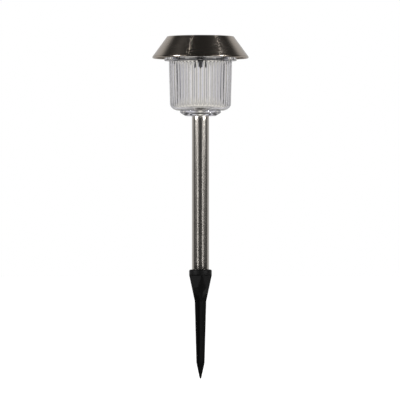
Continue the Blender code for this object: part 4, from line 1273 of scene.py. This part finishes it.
class LIGHT_OT_power(bpy.types.Operator):
    """Makes the battery, its contacts, the circuit board with its parts, the leads and the switch"""

    bl_idname = "garden_light.power"
    bl_label = "Battery and circuit"

    def execute(self, context):
        parts = context.scene.light_parts
        zinc = plated("contact_zinc", parts.zinc)
        make_battery(parts, zinc)
        make_circuit(parts)
        make_leads(parts)
        make_switch(parts, zinc)
        return {"FINISHED"}


def on_its_side(grid, centre):
    """Turns a surface from the z axis to the x axis, by moving each coordinate one place on."""
    return grid[:, :, [2, 0, 1]] + np.array(centre)


def make_battery(parts, zinc):
    """A turned cell with a crimped sleeve and a nub, a contact plate with rounded edges, and a spring
    whose path is a circle in y and z with a radius that narrows while x rises."""
    low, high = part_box("battery")
    centre = middle_of("battery")
    half, radius = (high.x - low.x) / 2, (high.z - low.z) / 2
    nub, nub_length, edge, crimp = 0.00275, 0.0010, 0.0006, 0.0003
    shoulder = half - nub_length
    can = profile_of(
        (0, -half),
        (radius * 0.62, -half),
        run((radius * 0.64, -half + 0.0002), (radius * 0.80, -half + 0.0002)),
        corner(radius, -half, edge, LOWER_OUTER, 6),
        run((radius, -half + edge), (radius, shoulder - 0.0036), 12),
        [(radius - crimp, shoulder - 0.0030), (radius, shoulder - 0.0024)],
        corner(radius, shoulder, edge, UPPER_OUTER, 6),
        run((radius * 0.78, shoulder), (radius * 0.74, shoulder - 0.0003)),
        run((nub + 0.0003, shoulder - 0.0003), (nub, shoulder)),
        corner(nub, half, 0.0003, UPPER_OUTER),
        (0, half),
    )
    grid = on_its_side(turned(can, 96), centre)
    piece(skin("battery_cell", grid), jacket_finish(parts, half), "battery_jacket", "battery")
    low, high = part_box("battery_plate")
    middle = (low + high) / 2
    half = (high - low) / 2
    flat = plate(oblong_outline(half.y, half.z, 0.0012), -half.x, half.x, 0.0001)
    mesh = skin("battery_contact", on_its_side(flat, middle))
    piece(mesh, zinc, "zinc_plate", "battery_plate")
    low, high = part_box("battery_spring")
    wire, wide, narrow, turns = 0.0004, 0.0038, 0.0024, 3
    t = np.linspace(0, 1, 32 * turns)
    reach, turn = wide + (narrow - wide) * t, 2 * pi * turns * t
    x = low.x + wire + (high.x - low.x - 2 * wire) * t
    path = np.stack([x, centre.y + reach * np.cos(turn), centre.z + reach * np.sin(turn)], axis=1)
    coil = along_path(path, wire, 12, (1.0, 0.0, 0.0))
    piece(skin("battery_coil_spring", coil), zinc, "zinc_plate", "battery_spring")


def jacket_finish(parts, half):
    """The cell's sleeve: a coloured band with a pale ring, and bare metal at both ends."""
    made, tree, shader, point = new_finish("battery_sleeve", 0.3)
    x = put(tree, "SeparateXYZ", {0: point}).outputs[0]
    mottle = noise(tree, point, 300.0, 4.0)
    band = toned(tree, mottle, parts.jacket, 0.12, 0.15)
    from_ring = calc(tree, "ABSOLUTE", calc(tree, "SUBTRACT", x, half * 0.6))
    ring = calc(tree, "LESS_THAN", from_ring, 0.003)
    band = blend(tree, ring, band, (0.7, 0.7, 0.66, 1.0))
    bare = calc(tree, "GREATER_THAN", calc(tree, "ABSOLUTE", x), half - 0.0016)
    base = blend(tree, bare, band, (*parts.zinc, 1.0))
    feed(tree, shader, "Metallic", bare)
    coat(tree, shader, base, between(tree, mottle, 0.24, 0.4), mottle, 0.15, SHALLOW)
    return made


def make_circuit(parts):
    """The circuit board with rounded edges, its chip, and a coil whose winding rises and falls with the
    size of a sine of the height between two plain flanges."""
    board = skin("printed_board", block("circuit_board", 0.0012, 0.0002))
    piece(board, board_finish(parts), "board_green", "circuit_board")
    chip = skin("driver_chip_body", block("driver_chip", 0.0003, 0.0002))
    piece(chip, moulded("chip_epoxy", parts.plastic, 0.6), "black_plastic", "driver_chip")
    low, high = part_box("inductor")
    radius, flange, edge = (high.x - low.x) / 2, 0.0008, 0.0002
    waist = radius - 0.0007
    heights = np.linspace(low.z + flange + edge, high.z - flange - edge, 57)
    rings = waist + 0.00012 * np.abs(np.sin(np.linspace(0, 7 * pi, 57)))
    coil = profile_of(
        (0, low.z),
        corner(radius, low.z, edge, LOWER_OUTER),
        corner(radius, low.z + flange, edge, UPPER_OUTER),
        np.stack([rings, heights], axis=1),
        corner(radius, high.z - flange, edge, LOWER_OUTER),
        corner(radius, high.z, edge, UPPER_OUTER),
        (0, high.z),
    )
    grid = turned(coil, 48) + np.array([(low.x + high.x) / 2, (low.y + high.y) / 2, 0])
    wound = winding_finish(parts, low.z + flange, high.z - flange)
    piece(skin("choke_coil", grid), wound, "copper_winding", "inductor")


def winding_finish(parts, start, end):
    """Enamelled copper between two heights, and dark ferrite above and below."""
    made, tree, shader, point = new_finish("coil_winding", 0.35)
    z = put(tree, "SeparateXYZ", {0: point}).outputs[2]
    above = calc(tree, "GREATER_THAN", z, start)
    wound = calc(tree, "MULTIPLY", above, calc(tree, "LESS_THAN", z, end))
    grit = noise(tree, point, 2500.0, 3.0)
    ferrite = blend(tree, grit, (0.02, 0.02, 0.022, 1.0), (0.05, 0.05, 0.055, 1.0))
    copper = toned(tree, grit, parts.copper, 0.2, 0.15)
    base = blend(tree, wound, ferrite, copper)
    feed(tree, shader, "Metallic", calc(tree, "MULTIPLY", wound, 0.9))
    coat(tree, shader, base, between(tree, grit, 0.28, 0.5), grit, 0.2, RAISED)
    return made


def make_leads(parts):
    """Four round insulated leads, each along a smooth curve through the same points as its CAD node."""
    lead_r = 0.0006
    red = moulded("red_insulation", parts.red, 0.4, 3000.0, SHALLOW)
    black = moulded("black_insulation", parts.black, 0.4, 3000.0, SHALLOW)
    down = high_z("circuit_board") + 0.0009
    under_roof, cell = high_z("head_housing") - 0.0012, middle_of("battery")
    panel_y, panel_x, cell_r, nub = -0.0120, 0.0022, 0.00725, 0.00275
    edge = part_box("battery_plate")[0].y - 0.0003
    contacts = (middle_of("battery_plate").x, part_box("battery_spring")[0].x + lead_r + 0.0003)
    ends = (
        (1, red, "plus", contacts[0], "red_lead"),
        (-1, black, "minus", contacts[1], "black_lead"),
    )
    for side, finish, name, contact, slot in ends:
        panel = [
            (side * panel_x, panel_y, low_z("panel_board") - 0.0003),
            (side * panel_x, panel_y, under_roof),
            (side * 2 * panel_x, panel_y - cell_r / 4, (under_roof - 0.0016 + down) / 2),
            (side * 2 * panel_x, panel_y - cell_r / 2, down),
        ]
        battery = [
            (contact, edge, cell.z),
            (contact, edge - cell_r / 2, cell.z + nub / 2),
            (side * (0.0200 + nub), 0, cell.z + nub),
            (side * (0.0200 - nub), -nub, down),
        ]
        for node, route in (("panel_lead_" + name, panel), ("battery_lead_" + name, battery)):
            up = (1.0, 0.3, 0.0) if route is panel else (0.0, 0.0, 1.0)
            grid = along_path(eased(route, 10), lead_r, 16, up)
            piece(skin(node + "_wire", grid), finish, slot, node)


def make_switch(parts, zinc):
    """The slide switch's can, and its knob with grip ribs: outlines at rising heights, whose half width
    narrows by the size of a sine of the height near the end."""
    dress(zinc, "switch_body")
    low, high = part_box("switch_knob")
    middle = (low + high) / 2
    half_x, half_y = (high.x - low.x) / 2, (high.y - low.y) / 2
    heights = np.linspace(low.z + 0.0002, low.z + 0.0020, 37)
    grooves = 0.00008 * np.abs(np.sin(np.linspace(0, 4 * pi, 37)))
    ribs = [(oblong(half_x - groove, half_y, 0.0003), z) for groove, z in zip(grooves, heights)]
    levels = [
        ([], low.z),
        (oblong(half_x - 0.0002, half_y - 0.0002, 0.0002), low.z),
        *ribs,
        (oblong(half_x, half_y, 0.0003), high.z - 0.0001),
        (oblong(half_x - 0.0001, half_y - 0.0001, 0.0002), high.z),
        ([], high.z),
    ]
    grid = stacked(levels) + np.array([middle.x, middle.y, 0])
    mesh = skin("switch_slider", grid)
    finish = moulded("switch_plastic", parts.plastic, 0.4)
    piece(mesh, finish, "black_plastic", "switch_knob", body="switch")


class LIGHT_OT_screws(bpy.types.Operator):
    """Makes every screw with a domed head and a cross recess"""

    bl_idname = "garden_light.screws"
    bl_label = "Screws"

    def execute(self, context):
        finish = plated("screw_zinc", context.scene.light_parts.zinc)
        names = [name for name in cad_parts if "_screw_" in name]
        if not names:
            raise RuntimeError("the frame has no screws")
        for name in names:
            low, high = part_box(name)
            grid = screw_surface(half_width(name), high.z - low.z)
            grid += np.array([(low.x + high.x) / 2, (low.y + high.y) / 2, low.z])
            piece(skin(name + "_body", grid), finish, "zinc_plate", name)
        return {"FINISHED"}


def screw_surface(head_r, height, sides=48):
    """A domed head down, a threaded shank up. The head's face sinks by a cross-shaped recess: the depth
    fades with the distance from the nearer of two crossed slots. The shank's radius rises and falls
    with a triangle wave of the height less a share of the azimuth, which winds the thread."""
    head, shank, pitch = 0.0016, 0.0012, 0.0008
    angles = azimuths(sides)[None]
    rings = np.linspace(0, 0.94, 9)[:, None] * head_r
    dome = head * 0.45 * (rings / head_r) ** 2.4
    x, y = rings * np.cos(angles), rings * np.sin(angles)
    slot = np.minimum(np.abs(x), np.abs(y))
    arm = 1 - smooth_step(slot, 0.00022, 0.00034)
    inside = 1 - smooth_step(rings, 0.0012, 0.0015)
    depth = 0.0010 * arm * inside
    face = np.stack([x, y, dome + depth], axis=2)
    edge = profile_of(
        arc((head_r - 0.0004, 0.0011), (0.0004, 0.0004), -pi / 4, 0, 4),
        [(head_r, head - 0.00005), (head_r - 0.00005, head)],
    )
    turns = np.linspace(head, height - 0.0012, 60)[:, None]
    wave = np.abs(((turns / pitch - angles / (2 * pi)) % 1) * 2 - 1)
    fades = smooth_step(turns, head + 0.0003, head + 0.0008)
    thread = polar_grid(shank - 0.00025 * wave * fades, turns[:, 0])
    point = turned(profile_of([(shank * 0.6, height - 0.0007), (0, height)]), sides)
    return np.concatenate([face, turned(edge, sides), thread, point])


class LIGHT_PT_sidebar(bpy.types.Panel):
    """Lists the sizes and the steps that build the light"""

    bl_idname = "LIGHT_PT_sidebar"
    bl_label = "Garden Light"
    bl_space_type = "VIEW_3D"
    bl_region_type = "UI"
    bl_category = "Garden Light"

    def draw(self, context):
        for group, steps in STEPS.items():
            box = self.layout.box()
            for step in steps:
                box.operator(step.bl_idname)
            settings = getattr(context.scene, group)
            for name in settings.__annotations__:
                box.prop(settings, name)


STEPS = {
    "light_stage": (LIGHT_OT_stage,),
    "light_cap": (LIGHT_OT_cap,),
    "light_panel": (LIGHT_OT_panel,),
    "light_lens": (LIGHT_OT_lens,),
    "light_tube": (LIGHT_OT_tube,),
    "light_stake": (LIGHT_OT_stake,),
    "light_lamp": (LIGHT_OT_lamp,),
    "light_parts": (LIGHT_OT_housing, LIGHT_OT_power, LIGHT_OT_screws),
}
SETTINGS = {
    "light_stage": StageSettings,
    "light_cap": CapSettings,
    "light_panel": PanelSettings,
    "light_lens": LensSettings,
    "light_tube": TubeSettings,
    "light_stake": StakeSettings,
    "light_lamp": LampSettings,
    "light_parts": PartsSettings,
}
CLASSES = (
    *SETTINGS.values(),
    *[step for steps in STEPS.values() for step in steps],
    LIGHT_PT_sidebar,
)


def register():
    for each in CLASSES:
        bpy.utils.register_class(each)
    for name, kind in SETTINGS.items():
        setattr(bpy.types.Scene, name, PointerProperty(type=kind))


def unregister():
    for name in SETTINGS:
        delattr(bpy.types.Scene, name)
    for each in reversed(CLASSES):
        bpy.utils.unregister_class(each)


def main():
    register()
    bpy.ops.garden_light.stage()
    bpy.ops.garden_light.cap()
    bpy.ops.garden_light.panel()
    bpy.ops.garden_light.lens()
    bpy.ops.garden_light.tube()
    bpy.ops.garden_light.stake()
    bpy.ops.garden_light.lamp()
    bpy.ops.garden_light.housing()
    bpy.ops.garden_light.power()
    bpy.ops.garden_light.screws()


if __name__ == "__main__":
    main()
